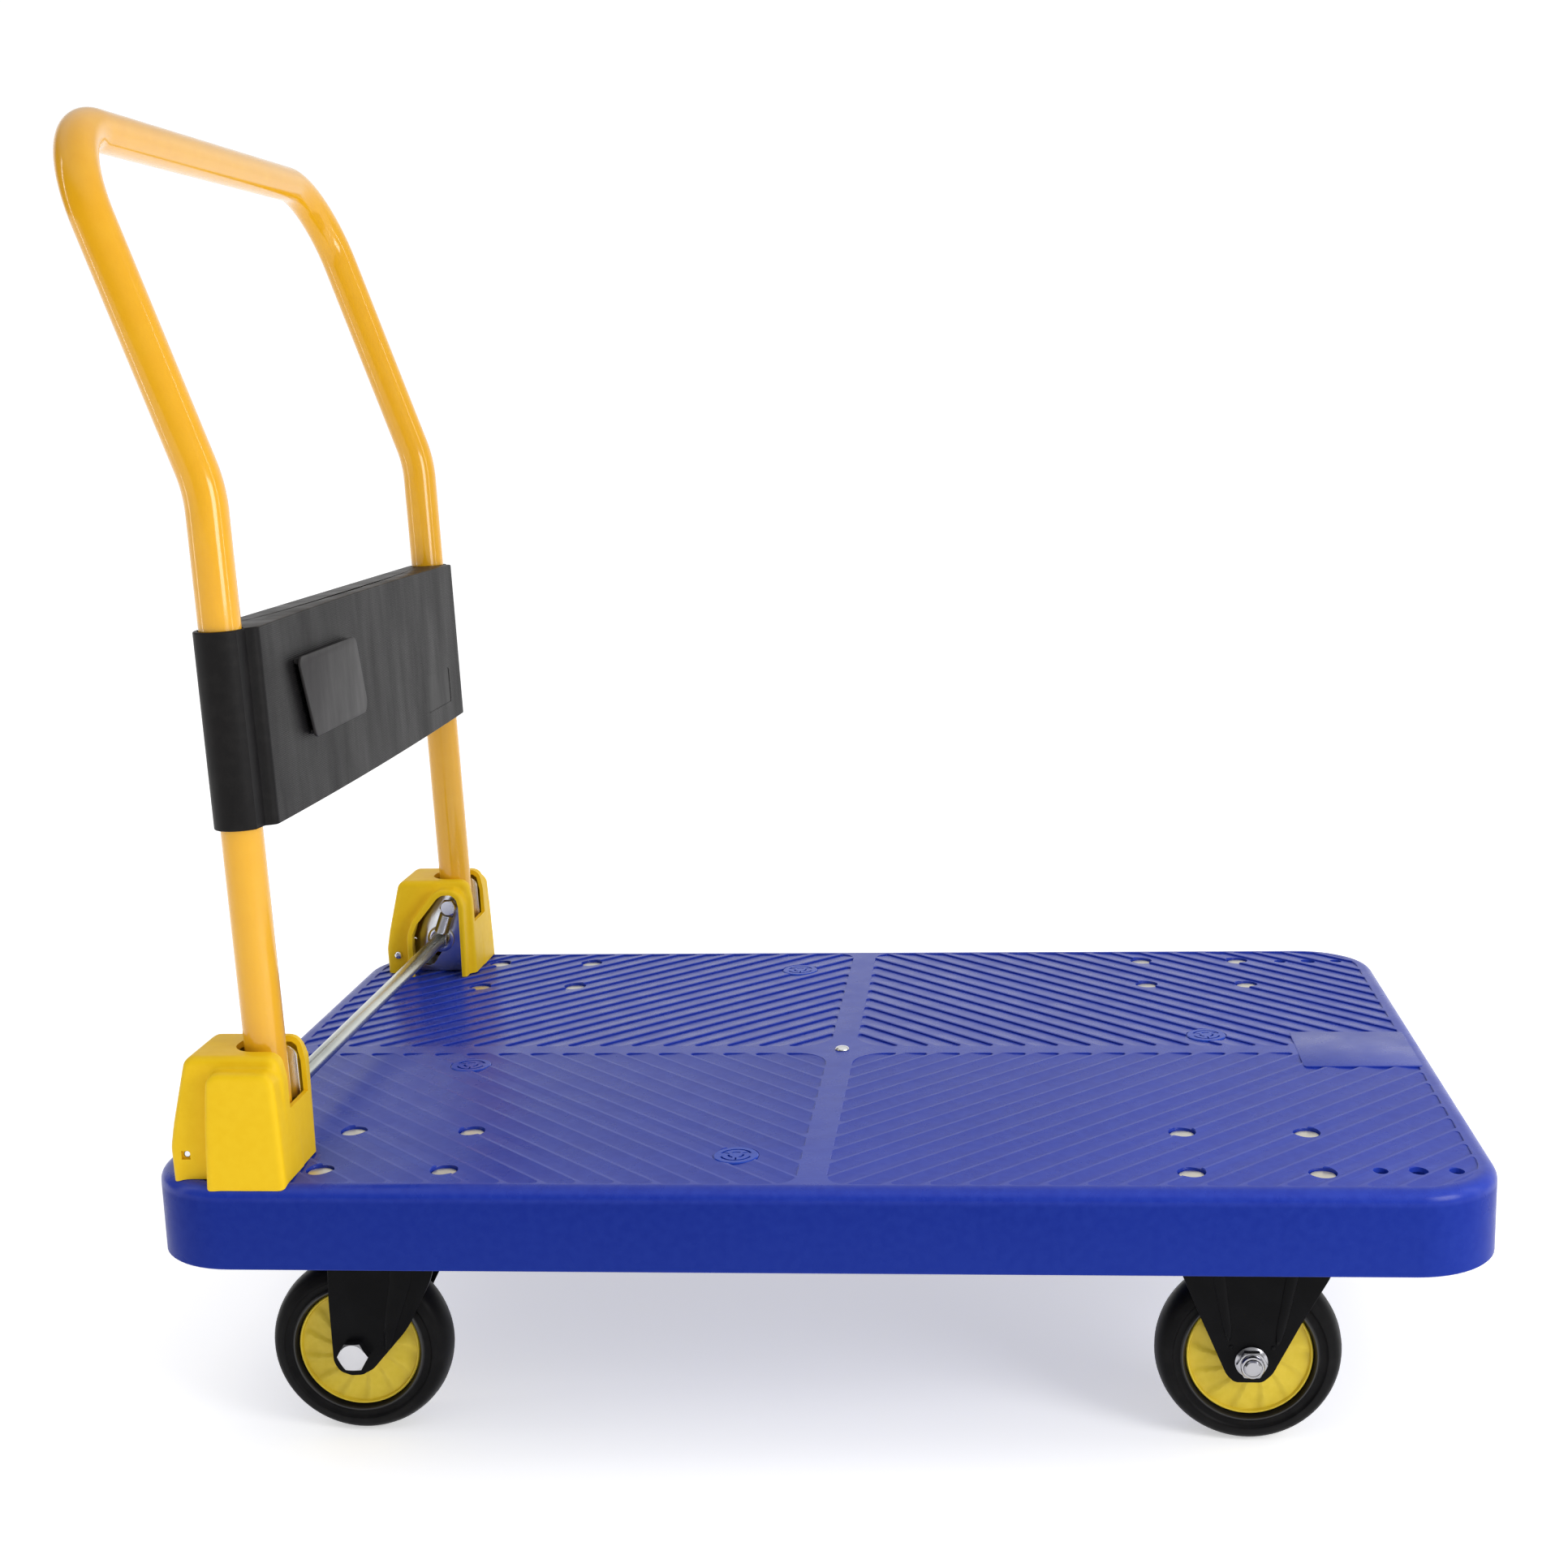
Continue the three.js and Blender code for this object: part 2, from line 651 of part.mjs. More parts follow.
// Wheel group: the axle is the group's Y axis. head_side is where the axle bolt's head sits.
function wheel_assembly(tag, head_side) {
  const group = new THREE.Group();
  const bolt = named(`axle_bolt_${tag}`, geometry_of(axle_bolt()), zinc());
  const nut = named(`axle_nut_${tag}`, geometry_of(axle_nut()), zinc());
  if (head_side < 0) {
    bolt.rotation.z = Math.PI;
    nut.rotation.z = Math.PI;
  }
  group.add(
    named(`tyre_${tag}`, tyre_geometry(), rubber_black()),
    named(`hub_${tag}`, hub_geometry(), hub_yellow()),
    named(`axle_sleeve_${tag}`, sleeve_geometry(), zinc()),
    bolt,
    nut,
  );
  return group;
}

function swivel_caster(tag, side) {
  const group = new THREE.Group();
  const wheel = wheel_assembly(tag, side);
  wheel.position.set(-caster_trail, 0, wheel_radius);
  group.add(
    named(`swivel_plate_${tag}`, geometry_of(swivel_plate()), fork_black()),
    named(`kingpin_${tag}`, kingpin_geometry(), zinc()),
    named(`ball_race_${tag}`, race_geometry(), zinc()),
    named(`fork_${tag}`, geometry_of(swivel_fork()), fork_black()),
    wheel,
  );
  return group;
}

function rigid_caster(tag, side) {
  const group = new THREE.Group();
  const wheel = wheel_assembly(tag, -side);
  wheel.position.set(0, 0, wheel_radius);
  group.add(named(`fork_${tag}`, geometry_of(rigid_fork()), fork_black()), wheel);
  return group;
}

// ---------------------------------------------------------------- hinge
// Hinge pieces are built for the +Y side in a group whose origin is the pivot centre, with y = 0
// at the deck's centre line.
const deck_level = -pivot_height; // deck top in the hinge group

function bracket() {
  const foot = deck_level + contact_gap;
  const outline = [
    [-bracket_back, foot], [bracket_front, foot], [bracket_front - 2, bracket_top - 5],
    [bracket_front - 7, bracket_top], [-14, bracket_top], [-bracket_back + 2, -40],
    [-bracket_back, -46],
  ];
  const inner_side = side_plate(outline, plate_inner, plate_inner + bracket_plate);
  const outer_side = side_plate(outline, plate_outer - bracket_plate, plate_outer);
  const base = block(-bracket_back, bracket_front, plate_inner, plate_outer, foot, foot + bracket_plate);
  const web = block(-bracket_back, -bracket_back + 3, plate_inner, plate_outer, foot, -48);
  const pivot_hole = rod_y(pivot_bolt_radius + contact_gap, plate_inner - 1, plate_outer + 1, 12);
  const foot_holes = [-1, 1].map((step) =>
    rod_z(foot_bolt_radius + contact_gap, foot - 1, foot + bracket_plate + 1, 10)
      .translate([foot_bolt_x - pivot_x, post_offset + (step * foot_bolt_spacing) / 2, 0]));
  return cut(fused(inner_side, outer_side, base, web), pivot_hole, bar_slot(), ...foot_holes);
}

// Slot for the release bar, from its locked place to its released place.
function bar_slot() {
  const clear = bar_radius + 0.7;
  const top = [-bar_back, -bar_drop];
  const low = [-bar_back - bar_travel_back, -bar_drop - bar_travel_down];
  const run = Math.hypot(bar_travel_back, bar_travel_down);
  const nx = (bar_travel_down / run) * clear;
  const nz = (-bar_travel_back / run) * clear;
  const sides = [
    [top[0] + nx, top[1] + nz], [low[0] + nx, low[1] + nz],
    [low[0] - nx, low[1] - nz], [top[0] - nx, top[1] - nz],
  ];
  const y0 = plate_inner - 1;
  const y1 = plate_outer + 1;
  return fused(
    side_plate(sides.reverse(), y0, y1),
    rod_y(clear, y0, y1, 12).translate([top[0], 0, top[1]]),
    rod_y(clear, y0, y1, 12).translate([low[0], 0, low[1]]),
  );
}

function foot_bolts() {
  const foot = deck_level + contact_gap + bracket_plate + contact_gap;
  const strip = strip_bottom - pivot_z;
  const x = foot_bolt_x - pivot_x;
  const bolts = [-1, 1].map((step) => {
    const bolt = fused(
      rod_z(foot_bolt_radius, strip, foot + 1, 12),
      rod_z(5.7, foot, foot + 4, 6),
    );
    return bolt.translate([x, post_offset + (step * foot_bolt_spacing) / 2, 0]);
  });
  return fused(
    block(x - 8, x + 8, post_offset - 18, post_offset + 18, strip, strip + mount_strip),
    ...bolts,
  );
}

const spring_y = plate_inner - spring_offset;
const bolt_head_low = spring_y - spring_wire - 6.6;

function pivot_bolt() {
  const nut_seat = plate_outer + contact_gap;
  return fused(
    rod_y(pivot_bolt_radius, bolt_head_low + 1, nut_seat + 8, 12),
    hexagon_y(13, bolt_head_low, bolt_head_low + 5.5),
  );
}

function pivot_nut() {
  const seat = plate_outer + contact_gap;
  return hexagon_y(13, seat, seat + 6.5).subtract(
    rod_y(pivot_bolt_radius + contact_gap, seat - 1, seat + 8, 12),
  );
}

// Extension spring: a hook round the pivot bolt, the coils, and a hook round the release bar.
function spring_path() {
  const along = new THREE.Vector3(-bar_back, 0, -bar_drop).normalize();
  const side = new THREE.Vector3(0, 1, 0);
  const across = new THREE.Vector3().crossVectors(side, along);
  const span = Math.hypot(bar_back, bar_drop);
  const hook_turn = Math.PI * 1.35;
  const hook_steps = 5;
  const swell = 1 / Math.cos(hook_turn / hook_steps / 2); // keeps the straight wire runs clear
  const hook = (bar_radius + contact_gap + spring_wire) * swell;
  const top_hook = (pivot_bolt_radius + contact_gap + spring_wire) * swell;
  const coil_start = top_hook + 3.5;
  const coil_end = span - hook - 2.5;
  const points = [];
  const put = (a, c, s) => points.push(new THREE.Vector3()
    .addScaledVector(along, a).addScaledVector(across, c).addScaledVector(side, s + spring_y));
  for (let i = 0; i <= hook_steps; i += 1) {
    const turn = Math.PI - hook_turn + (i / hook_steps) * hook_turn;
    put(-top_hook * Math.sin(turn), top_hook * Math.cos(turn), 0);
  }
  const sides = 7;
  for (let i = 0; i <= spring_coils * sides; i += 1) {
    const turn = (i / sides) * Math.PI * 2;
    const climb = i / (spring_coils * sides);
    put(
      coil_start + (coil_end - coil_start) * climb,
      -spring_radius * Math.cos(turn),
      spring_radius * Math.sin(turn),
    );
  }
  for (let i = 0; i <= hook_steps; i += 1) {
    const turn = (i / hook_steps) * hook_turn;
    put(span + hook * Math.sin(turn), -hook * Math.cos(turn), 0);
  }
  const tangents = points.map((p, i) => {
    const before = points[Math.max(0, i - 1)];
    const after = points[Math.min(points.length - 1, i + 1)];
    return after.clone().sub(before).normalize();
  });
  return new StationPath(points, tangents);
}

function spring_geometry() {
  const wire = new THREE.Shape();
  wire.absarc(0, 0, spring_wire, 0, Math.PI * 2);
  return swept(wire, spring_path(), 2);
}

// Cover: a housing open below, with a raised outer panel, a slot for the post and a rimmed window
// on the inner side for the release bar.
function cover() {
  const below = deck_level - 15;
  const r = tube_radius;
  const body = [
    [-59.5, below], [-60.5, -40], [-57.5, -24], [-47, 19], [-42.5, 23],
    [r - 2, 23], [r + 3, 19], [r + 5.5, 6], [r + 7, below],
  ];
  const pad = [
    [-33.5, below], [-31, -25], [-28, 10], [-22.5, 15.5],
    [r - 1, 15.5], [r + 4, 9], [r + 6, -25], [cover_pad_front, below],
  ];
  const rim = [
    [-38, below], [-38, -26], [-33, -12], [-13, 13], [-6, 17.5], [6, 17.5], [12.5, 13], [15.5, 4], [15.5, below],
  ];
  const inset = (points, by) => {
    const cx = -20;
    return points.map(([x, z]) => [
      x + (x < cx ? by : -by),
      z > -20 ? z - by : z,
    ]);
  };
  const half = cover_width / 2;
  const pad_half = cover_pad_width / 2;
  const mid = cover_centre;
  const w = cover_wall;
  const outer = fused(
    side_plate(body.slice().reverse(), mid - half, mid + half, 3, 2),
    side_plate(pad.slice().reverse(), mid, mid + pad_half, 2.5, 2),
    side_plate(rim.slice().reverse(), mid - pad_half, mid, 2, 2),
  );
  const inner = fused(
    side_plate(inset(body, w).reverse(), mid - half + w, mid + half - w),
    side_plate(inset(pad, w).reverse(), mid, mid + pad_half - w),
    side_plate(inset(rim, w).reverse(), mid - pad_half + w, mid),
  ).translate([0, 0, -1]);
  const slot_half = cover_slot / 2;
  const slot = block(0.5 - slot_half, r + 16, post_offset - slot_half, post_offset + slot_half, -16, 60);
  const window_outline = [
    [-32.5, below - 5], [-32.5, -24], [-28, -14], [-8, 10], [-3, 13], [5, 13], [9.5, 9], [11, 2], [11, below - 5],
  ];
  const opening = side_plate(window_outline.reverse(), mid - pad_half - 1, mid - half + w + 4);
  const screw_hole = rod_y(2.2, mid - half - 1, mid + half + 1, 10).translate([-49.5, 0, -45]);
  const nut_pocket = block(-52.5, -46.5, mid + half - 2, mid + half + 1, -48, -42);
  const keep = block(-100, 60, mid - pad_half - 5, mid + pad_half + 5, deck_level - 4, 80);
  const floor = deck_envelope(contact_gap).translate([-pivot_x, 0, -pivot_z]);
  return cut(outer.intersect(keep), inner, slot, opening, screw_hole, nut_pocket, floor);
}

function cover_screw() {
  const head = cover_centre - cover_width / 2 - contact_gap;
  const profile = [
    [0, head - 2], [2, head - 2], [3.4, head - 1], [3.4, head], [1.9, head],
    [1.9, head + cover_width - 1], [0, head + cover_width - 1],
  ];
  return turned_geometry(profile, 12).translate(-49.5, 0, -45);
}

// The -Y copy of a hinge piece is its mirror image, made by a mirroring scale on its own mesh.
function both_sides(name, geometry, material) {
  const left = named(`${name}_left`, geometry, material());
  const right = named(`${name}_right`, geometry, material());
  right.scale.y = -1;
  return [left, right];
}

function hinges() {
  const group = new THREE.Group();
  group.position.set(pivot_x, 0, pivot_z);
  group.add(
    ...both_sides('hinge_bracket', geometry_of(bracket()), zinc),
    ...both_sides('bracket_bolts', geometry_of(foot_bolts()), zinc),
    ...both_sides('hinge_cover', geometry_of(cover()), cover_yellow),
    ...both_sides('cover_screw', cover_screw(), zinc),
    ...both_sides('pivot_bolt', geometry_of(pivot_bolt()), zinc),
    ...both_sides('pivot_nut', geometry_of(pivot_nut()), zinc),
    ...both_sides('release_spring', spring_geometry(), zinc),
  );
  return group;
}

function release_bar() {
  const group = new THREE.Group();
  group.position.set(pivot_x - bar_back, 0, pivot_z - bar_drop);
  const end = plate_outer + bar_overhang;
  const chamfer = 1;
  const bar = turned_geometry([
    [0, -end], [bar_radius - chamfer, -end], [bar_radius, -end + chamfer],
    [bar_radius, end - chamfer], [bar_radius - chamfer, end], [0, end],
  ], 16);
  const face = plate_inner - contact_gap;
  const bore = bar_radius + contact_gap;
  const washer_radius = bar_radius + washer_rim;
  const washer = turned_geometry([
    [bore, face - 1.4], [washer_radius, face - 1.4], [washer_radius, face], [bore, face], [bore, face - 1.4],
  ], 16);
  group.add(named('release_bar', bar, zinc()), ...both_sides('bar_washer', washer, zinc));
  return group;
}

// ---------------------------------------------------------------- handle
function handle_path() {
  const lower = THREE.MathUtils.degToRad(lower_lean);
  const upper = THREE.MathUtils.degToRad(upper_lean);
  const low_dir = new THREE.Vector3(-Math.sin(lower), 0, Math.cos(lower));
  const high_dir = new THREE.Vector3(-Math.sin(upper), 0, Math.cos(upper));
  const bend = new THREE.Vector3(bend_x, post_offset, lower_rise);
  const corner = new THREE.Vector3(bar_x, post_offset, lower_rise + upper_rise);
  const points = [low_dir.clone().multiplyScalar(-tube_tail).setY(post_offset)];
  const tangents = [low_dir.clone()];
  add_bend(points, tangents, bend, low_dir, high_dir, bend_radius, 3);
  add_bend(points, tangents, corner, high_dir, new THREE.Vector3(0, -1, 0), corner_radius, 5);
  const mirrored = points.map((p) => new THREE.Vector3(p.x, -p.y, p.z)).reverse();
  const back = tangents.map((t) => new THREE.Vector3(-t.x, t.y, -t.z)).reverse();
  return new StationPath([...points, ...mirrored], [...tangents, ...back]);
}

// Adds the stations of a round bend of the path at a corner point.
function add_bend(points, tangents, corner, from, to, radius, steps) {
  const angle = from.angleTo(to);
  const trim = radius * Math.tan(angle / 2);
  const start = corner.clone().addScaledVector(from, -trim);
  const inward = to.clone().addScaledVector(from, -to.dot(from)).normalize();
  const centre = start.clone().addScaledVector(inward, radius);
  for (let i = 0; i <= steps; i += 1) {
    const a = (angle * i) / steps;
    const point = centre.clone().addScaledVector(inward, -radius * Math.cos(a));
    points.push(point.addScaledVector(from, radius * Math.sin(a)));
    tangents.push(from.clone().multiplyScalar(Math.cos(a)).addScaledVector(inward, Math.sin(a)));
  }
}

function handle_tube() {
  const ring = new THREE.Shape();
  ring.absarc(0, 0, tube_radius, 0, Math.PI * 2);
  const hollow = new THREE.Path();
  hollow.absarc(0, 0, tube_radius - tube_wall, 0, Math.PI * 2, true);
  ring.holes.push(hollow);
  const tube = solid(swept(ring, handle_path(), 6));
  return tube.subtract(rod_y(pivot_bolt_radius + running_gap, -post_offset - 20, post_offset + 20, 16));
}

// Panel: one moulding whose two sleeves go round the posts. Built upright, then leaned back.
function back_panel() {
  const sleeve = panel_sleeve;
  const face = panel_front;
  const edge = post_offset - 6;
  const shape = new THREE.Shape();
  shape.moveTo(face, -edge);
  shape.lineTo(face, edge);
  shape.lineTo(face - 3, edge + 2);
  shape.lineTo(face - 8, edge + 3);
  shape.absarc(0, post_offset, sleeve, 0.75, Math.PI * 1.5 - 0.5);
  shape.lineTo(-5, edge - 32);
  shape.lineTo(5, edge - 90);
  shape.lineTo(9, 0);
  shape.lineTo(5, -edge + 90);
  shape.lineTo(-5, -edge + 32);
  shape.absarc(0, -post_offset, sleeve, Math.PI * 0.5 + 0.5, Math.PI * 2 - 0.75);
  shape.lineTo(face - 8, -edge - 3);
  shape.lineTo(face - 3, -edge - 2);
  const plan = flat_plate(shape, -panel_bow, panel_height + panel_bow, 7);
  const profile = new THREE.Shape();
  const reach = post_offset + sleeve + 1;
  profile.moveTo(-reach, 0);
  profile.quadraticCurveTo(0, -2 * panel_bow, reach, 0);
  profile.lineTo(reach, panel_height);
  profile.quadraticCurveTo(0, panel_height + 2 * panel_bow, -reach, panel_height);
  const front_view = new THREE.ExtrudeGeometry(profile, { depth: 80, bevelEnabled: false, curveSegments: 6 });
  front_view.translate(0, 0, -40).rotateX(Math.PI / 2).rotateZ(Math.PI / 2);
  const bores = [-1, 1].map((side) =>
    rod_z(tube_radius + 2 * contact_gap, -10, panel_height + 10, 16).translate([0, side * post_offset, 0]));
  return cut(plan.intersect(solid(front_view)), ...bores, ...panel_pockets());
}

// Moulding pockets in the panel, open below, with a rib between each two.
function panel_pockets() {
  const wall = 3;
  const front = panel_front - wall;
  const pockets = [];
  const reach = post_offset - panel_sleeve - 20;
  const count = 5;
  const step = (2 * reach) / count;
  for (let i = 0; i < count; i += 1) {
    const y0 = -reach + i * step + wall / 2;
    const back = i === 0 || i === count - 1 ? panel_front - 12 : panel_front - 10;
    pockets.push(block(back, front, y0, y0 + step - wall, -20, panel_height - 2 * wall));
  }
  return pockets;
}

// Raised tab, a slanting plate on two short feet, open towards -Y.
function panel_tab() {
  const face = panel_front + contact_gap;
  const plate = new THREE.Shape([[-192, 0], [-62, 0], [-46, -58], [-170, -58]].map(
    ([y, z]) => new THREE.Vector2(y, z)));
  const sheet = new THREE.ExtrudeGeometry(plate, { depth: 1.8, bevelEnabled: false });
  sheet.rotateX(Math.PI / 2).rotateZ(Math.PI / 2).translate(face + 3.6, 0, 0);
  const feet = [[-184, -68, -4, -1], [-166, -52, -56, -53]].map(([y0, y1, z0, z1]) =>
    block(face, face + 4, y0, y1, z0, z1));
  const wall = block(face, face + 4, -70, -66, -54, -2);
  return fused(solid(sheet), ...feet, wall);
}

function handle() {
  const group = new THREE.Group();
  group.position.set(pivot_x, 0, pivot_z);
  const panel = new THREE.Group();
  panel.rotation.y = -THREE.MathUtils.degToRad(lower_lean);
  const mould = named('back_panel', geometry_of(back_panel()), panel_black());
  mould.position.z = panel_bottom;
  const tab = named('panel_tab', geometry_of(panel_tab()), panel_black());
  tab.position.z = panel_bottom + panel_height - 27;
  panel.add(mould, tab);
  group.add(named('handle_tube', geometry_of(handle_tube()), tube_yellow()), panel);
  return group;
}

// ---------------------------------------------------------------- the cart
function cart() {
  const group = new THREE.Group();
  group.position.x = frame_shift;
  group.add(named('deck', geometry_of(deck()), deck_blue()));
  plug_points.forEach(([x, y], i) => {
    const plug = named(`deck_plug_${i + 1}`, plug_geometry(), deck_blue());
    plug.position.set(x, y, deck_top);
    group.add(plug);
  });
  const stud = named('centre_stud', stud_geometry(), zinc());
  stud.position.z = deck_top;
  group.add(stud);
  for (const spot of caster_spots) {
    const tag = `${spot.end}_${spot.side}`;
    const side = Math.sign(spot.y);
    const caster = spot.end === 'rear' ? swivel_caster(tag, side) : rigid_caster(tag, side);
    const bolts = named(`caster_bolts_${tag}`, geometry_of(mount_bolts()), bolt_cream());
    caster.add(bolts);
    caster.position.set(spot.x, spot.y, 0);
    group.add(caster);
  }
  group.add(hinges(), release_bar(), handle());
  return group;
}

export default cart();
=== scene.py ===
"""Folding platform cart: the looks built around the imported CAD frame.

Lengths inside the shape functions are millimetres in the row frame; objects are made in metres.
"""
import math

import bmesh
import bpy
from mathutils import Matrix, Vector


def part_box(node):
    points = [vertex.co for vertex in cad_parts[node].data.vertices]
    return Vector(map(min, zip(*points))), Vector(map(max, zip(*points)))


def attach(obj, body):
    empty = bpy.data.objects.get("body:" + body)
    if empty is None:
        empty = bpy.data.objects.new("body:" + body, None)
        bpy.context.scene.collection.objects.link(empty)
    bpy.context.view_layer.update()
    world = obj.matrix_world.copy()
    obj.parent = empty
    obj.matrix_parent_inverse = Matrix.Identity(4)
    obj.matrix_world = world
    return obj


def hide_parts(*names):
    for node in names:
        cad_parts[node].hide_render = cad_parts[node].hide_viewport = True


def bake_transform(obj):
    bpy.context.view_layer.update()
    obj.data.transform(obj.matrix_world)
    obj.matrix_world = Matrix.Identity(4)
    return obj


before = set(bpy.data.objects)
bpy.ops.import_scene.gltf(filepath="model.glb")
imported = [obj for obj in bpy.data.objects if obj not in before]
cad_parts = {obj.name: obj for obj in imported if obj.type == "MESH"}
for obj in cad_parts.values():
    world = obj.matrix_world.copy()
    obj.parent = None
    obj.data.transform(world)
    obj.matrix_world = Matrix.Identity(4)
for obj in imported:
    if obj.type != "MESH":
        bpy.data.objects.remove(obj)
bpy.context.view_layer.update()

MM = 0.001
SHIFT = 10.11  # row frame X of the deck's centre
DECK_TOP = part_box("deck")[1].z / MM
DECK_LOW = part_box("deck")[0].z / MM
PAD_LOW = DECK_TOP - 44.4  # underside of the ribs and bosses
HALF_LENGTH = 450
HALF_WIDTH = 300
CORNER = 60
CASTER_X, CASTER_Y = 291.7, 225
BOLT_X, BOLT_Y = 42.5, 38.5  # half of each caster's bolt pattern
PIVOT_X = SHIFT - 368
PIVOT_Z = DECK_TOP + 62
POST_Y = 254
TUBE_RADIUS = 13.72
TUBE_BORE = 12.0
FULL_TURN = 2 * math.pi


# ------------------------------------------------------------------ mesh helpers
def smooth(mesh, angle):
    mesh.shade_smooth()
    mesh.set_sharp_from_angle(angle=math.radians(angle))


def finish_mesh(name, bm, angle=35.0, scale=MM):
    """Turns a bmesh in millimetres into an object in metres, smooth but for sharp edges."""
    bmesh.ops.scale(bm, vec=(scale,) * 3, verts=bm.verts)
    bmesh.ops.recalc_face_normals(bm, faces=bm.faces)
    mesh = bpy.data.meshes.new(name)
    bm.to_mesh(mesh)
    bm.free()
    smooth(mesh, angle)
    obj = bpy.data.objects.new(name, mesh)
    bpy.context.scene.collection.objects.link(obj)
    return obj


def apply_modifiers(obj, angle=35.0):
    depsgraph = bpy.context.evaluated_depsgraph_get()
    mesh = bpy.data.meshes.new_from_object(obj.evaluated_get(depsgraph))
    obj.modifiers.clear()
    obj.data = mesh
    smooth(mesh, angle)
    return obj


def boolean(obj, other, operation="DIFFERENCE", angle=35.0):
    """Joins or cuts obj by other, which is removed."""
    modifier = obj.modifiers.new("solid", "BOOLEAN")
    modifier.operation = operation
    modifier.solver = "MANIFOLD"
    modifier.object = other
    apply_modifiers(obj, angle)
    bpy.data.objects.remove(other)
    return obj


def cut(obj, bm, angle=35.0):
    return boolean(obj, finish_mesh("cutter", bm), "DIFFERENCE", angle)


def weld(obj, bm, angle=35.0):
    return boolean(obj, finish_mesh("addition", bm), "UNION", angle)


def add_bmesh(target, source, offset=(0, 0, 0)):
    """Copies the faces of source into target."""
    verts = {v: target.verts.new(v.co + Vector(offset)) for v in source.verts}
    for f in source.faces:
        target.faces.new([verts[v] for v in f.verts])


def bridge(bm, rings, closed=False):
    """Joins each ring of vertices to the next with quads."""
    for a, b in zip(rings, rings[1:] + rings[:1] if closed else rings[1:]):
        for i in range(len(a)):
            j = (i + 1) % len(a)
            bm.faces.new((a[i], a[j], b[j], b[i]))


def circle(radius, sides):
    angles = [FULL_TURN * i / sides for i in range(sides)]
    return [(radius * math.cos(a), radius * math.sin(a)) for a in angles]


def turned(profile, sides, axis="z", closed=False, centre=(0, 0, 0)):
    """A turned bmesh from (radius, height) pairs about an axis, z or y, through centre."""
    bm = bmesh.new()
    rings = []
    for radius, height in profile:
        points = circle(radius, sides) if radius >= 1e-6 else [(0, 0)]
        rings.append([bm.verts.new((x, y, height)) for x, y in points])
    for low, high in zip(rings, rings[1:] + rings[:1] if closed else rings[1:]):
        for i in range(sides):
            j = (i + 1) % sides
            if len(low) == 1 and len(high) == 1:
                continue
            if len(low) == 1:
                bm.faces.new((low[0], high[i], high[j]))
            elif len(high) == 1:
                bm.faces.new((low[i], low[j], high[0]))
            else:
                bm.faces.new((low[i], low[j], high[j], high[i]))
    turn = Matrix.Rotation(-math.pi / 2, 3, "X") if axis == "y" else Matrix.Identity(3)
    for v in bm.verts:
        v.co = turn @ v.co + Vector(centre)
    return bm


def rod(radius, low, high, sides, axis="z", centre=(0, 0, 0)):
    return turned([(0, low), (radius, low), (radius, high), (0, high)], sides, axis, centre=centre)


def lifted(base, pairs):
    """Profile pairs whose heights are given from base."""
    return [(radius, base + height) for radius, height in pairs]


def rounded_polygon(points, radius, steps=4):
    """Closed 2-D polygon whose corners are rounded; radius is a number or one per corner."""
    out = []
    n = len(points)
    for i in range(n):
        r = radius[i] if isinstance(radius, (list, tuple)) else radius
        here = Vector(points[i])
        before = Vector(points[i - 1]) - here
        after = Vector(points[(i + 1) % n]) - here
        la, lb = before.length, after.length
        before.normalize()
        after.normalize()
        angle = before.angle(after)
        if r <= 0 or angle > math.pi - 0.02:
            out.append(here)
            continue
        trim = min(r / math.tan(angle / 2), la * 0.48, lb * 0.48)
        r = trim * math.tan(angle / 2)
        centre = here + (before + after).normalized() * (r / math.sin(angle / 2))
        a0 = here + before * trim - centre
        a1 = here + after * trim - centre
        sweep = a0.angle(a1)
        for s in range(steps + 1):
            t = s / steps
            w0 = math.sin((1 - t) * sweep) / math.sin(sweep)
            w1 = math.sin(t * sweep) / math.sin(sweep)
            out.append(centre + a0 * w0 + a1 * w1)
    return out


def offset_outline(outline, inset):
    """Moves a closed 2-D outline inwards."""
    n = len(outline)
    ahead = outline[1:] + outline[:1]
    area = sum(p[0] * q[1] - q[0] * p[1] for p, q in zip(outline, ahead))
    sign = 1 if area > 0 else -1
    out = []
    for i in range(n):
        p, here, q = Vector(outline[i - 1][:2]), Vector(outline[i][:2]), Vector(ahead[i][:2])
        a = (here - p).normalized()
        b = (q - here).normalized()
        na, nb = Vector((-a.y, a.x)) * sign, Vector((-b.y, b.x)) * sign
        m = na + nb
        if m.length < 1e-6:
            m = na
        m.normalize()
        out.append(here + m * inset / max(0.4, m.dot(na)))
    return out


def extruded(outline, low, high, plane="xz", bevel=0.0, segments=3):
    """A prism of a 2-D outline between two values of the third axis, with rounded rims."""
    bm = bmesh.new()

    def place(p, h):
        return {"xz": (p[0], h, p[1]), "xy": (p[0], p[1], h), "yz": (h, p[0], p[1])}[plane]

    levels = [(low, 0.0), (high, 0.0)]
    if bevel > 0:
        turns = [math.pi / 2 * i / segments for i in range(segments + 1)]
        arc = [(bevel * (1 - math.cos(a)), bevel * (1 - math.sin(a))) for a in turns]
        levels = [(low + h, inset) for h, inset in arc] + [(high - h, inset) for h, inset in reversed(arc)]
    rings = []
    for h, inset in levels:
        ring = offset_outline(outline, inset) if inset > 0 else outline
        rings.append([bm.verts.new(place(p, h)) for p in ring])
    bridge(bm, rings)
    bm.faces.new(rings[0][::-1])
    bm.faces.new(rings[-1])
    return bm


def rectangle(x0, x1, y0, y1):
    return [(x0, y0), (x1, y0), (x1, y1), (x0, y1)]


def box(x0, x1, y0, y1, z0, z1):
    return extruded(rectangle(x0, x1, y0, y1), z0, z1, "xy")


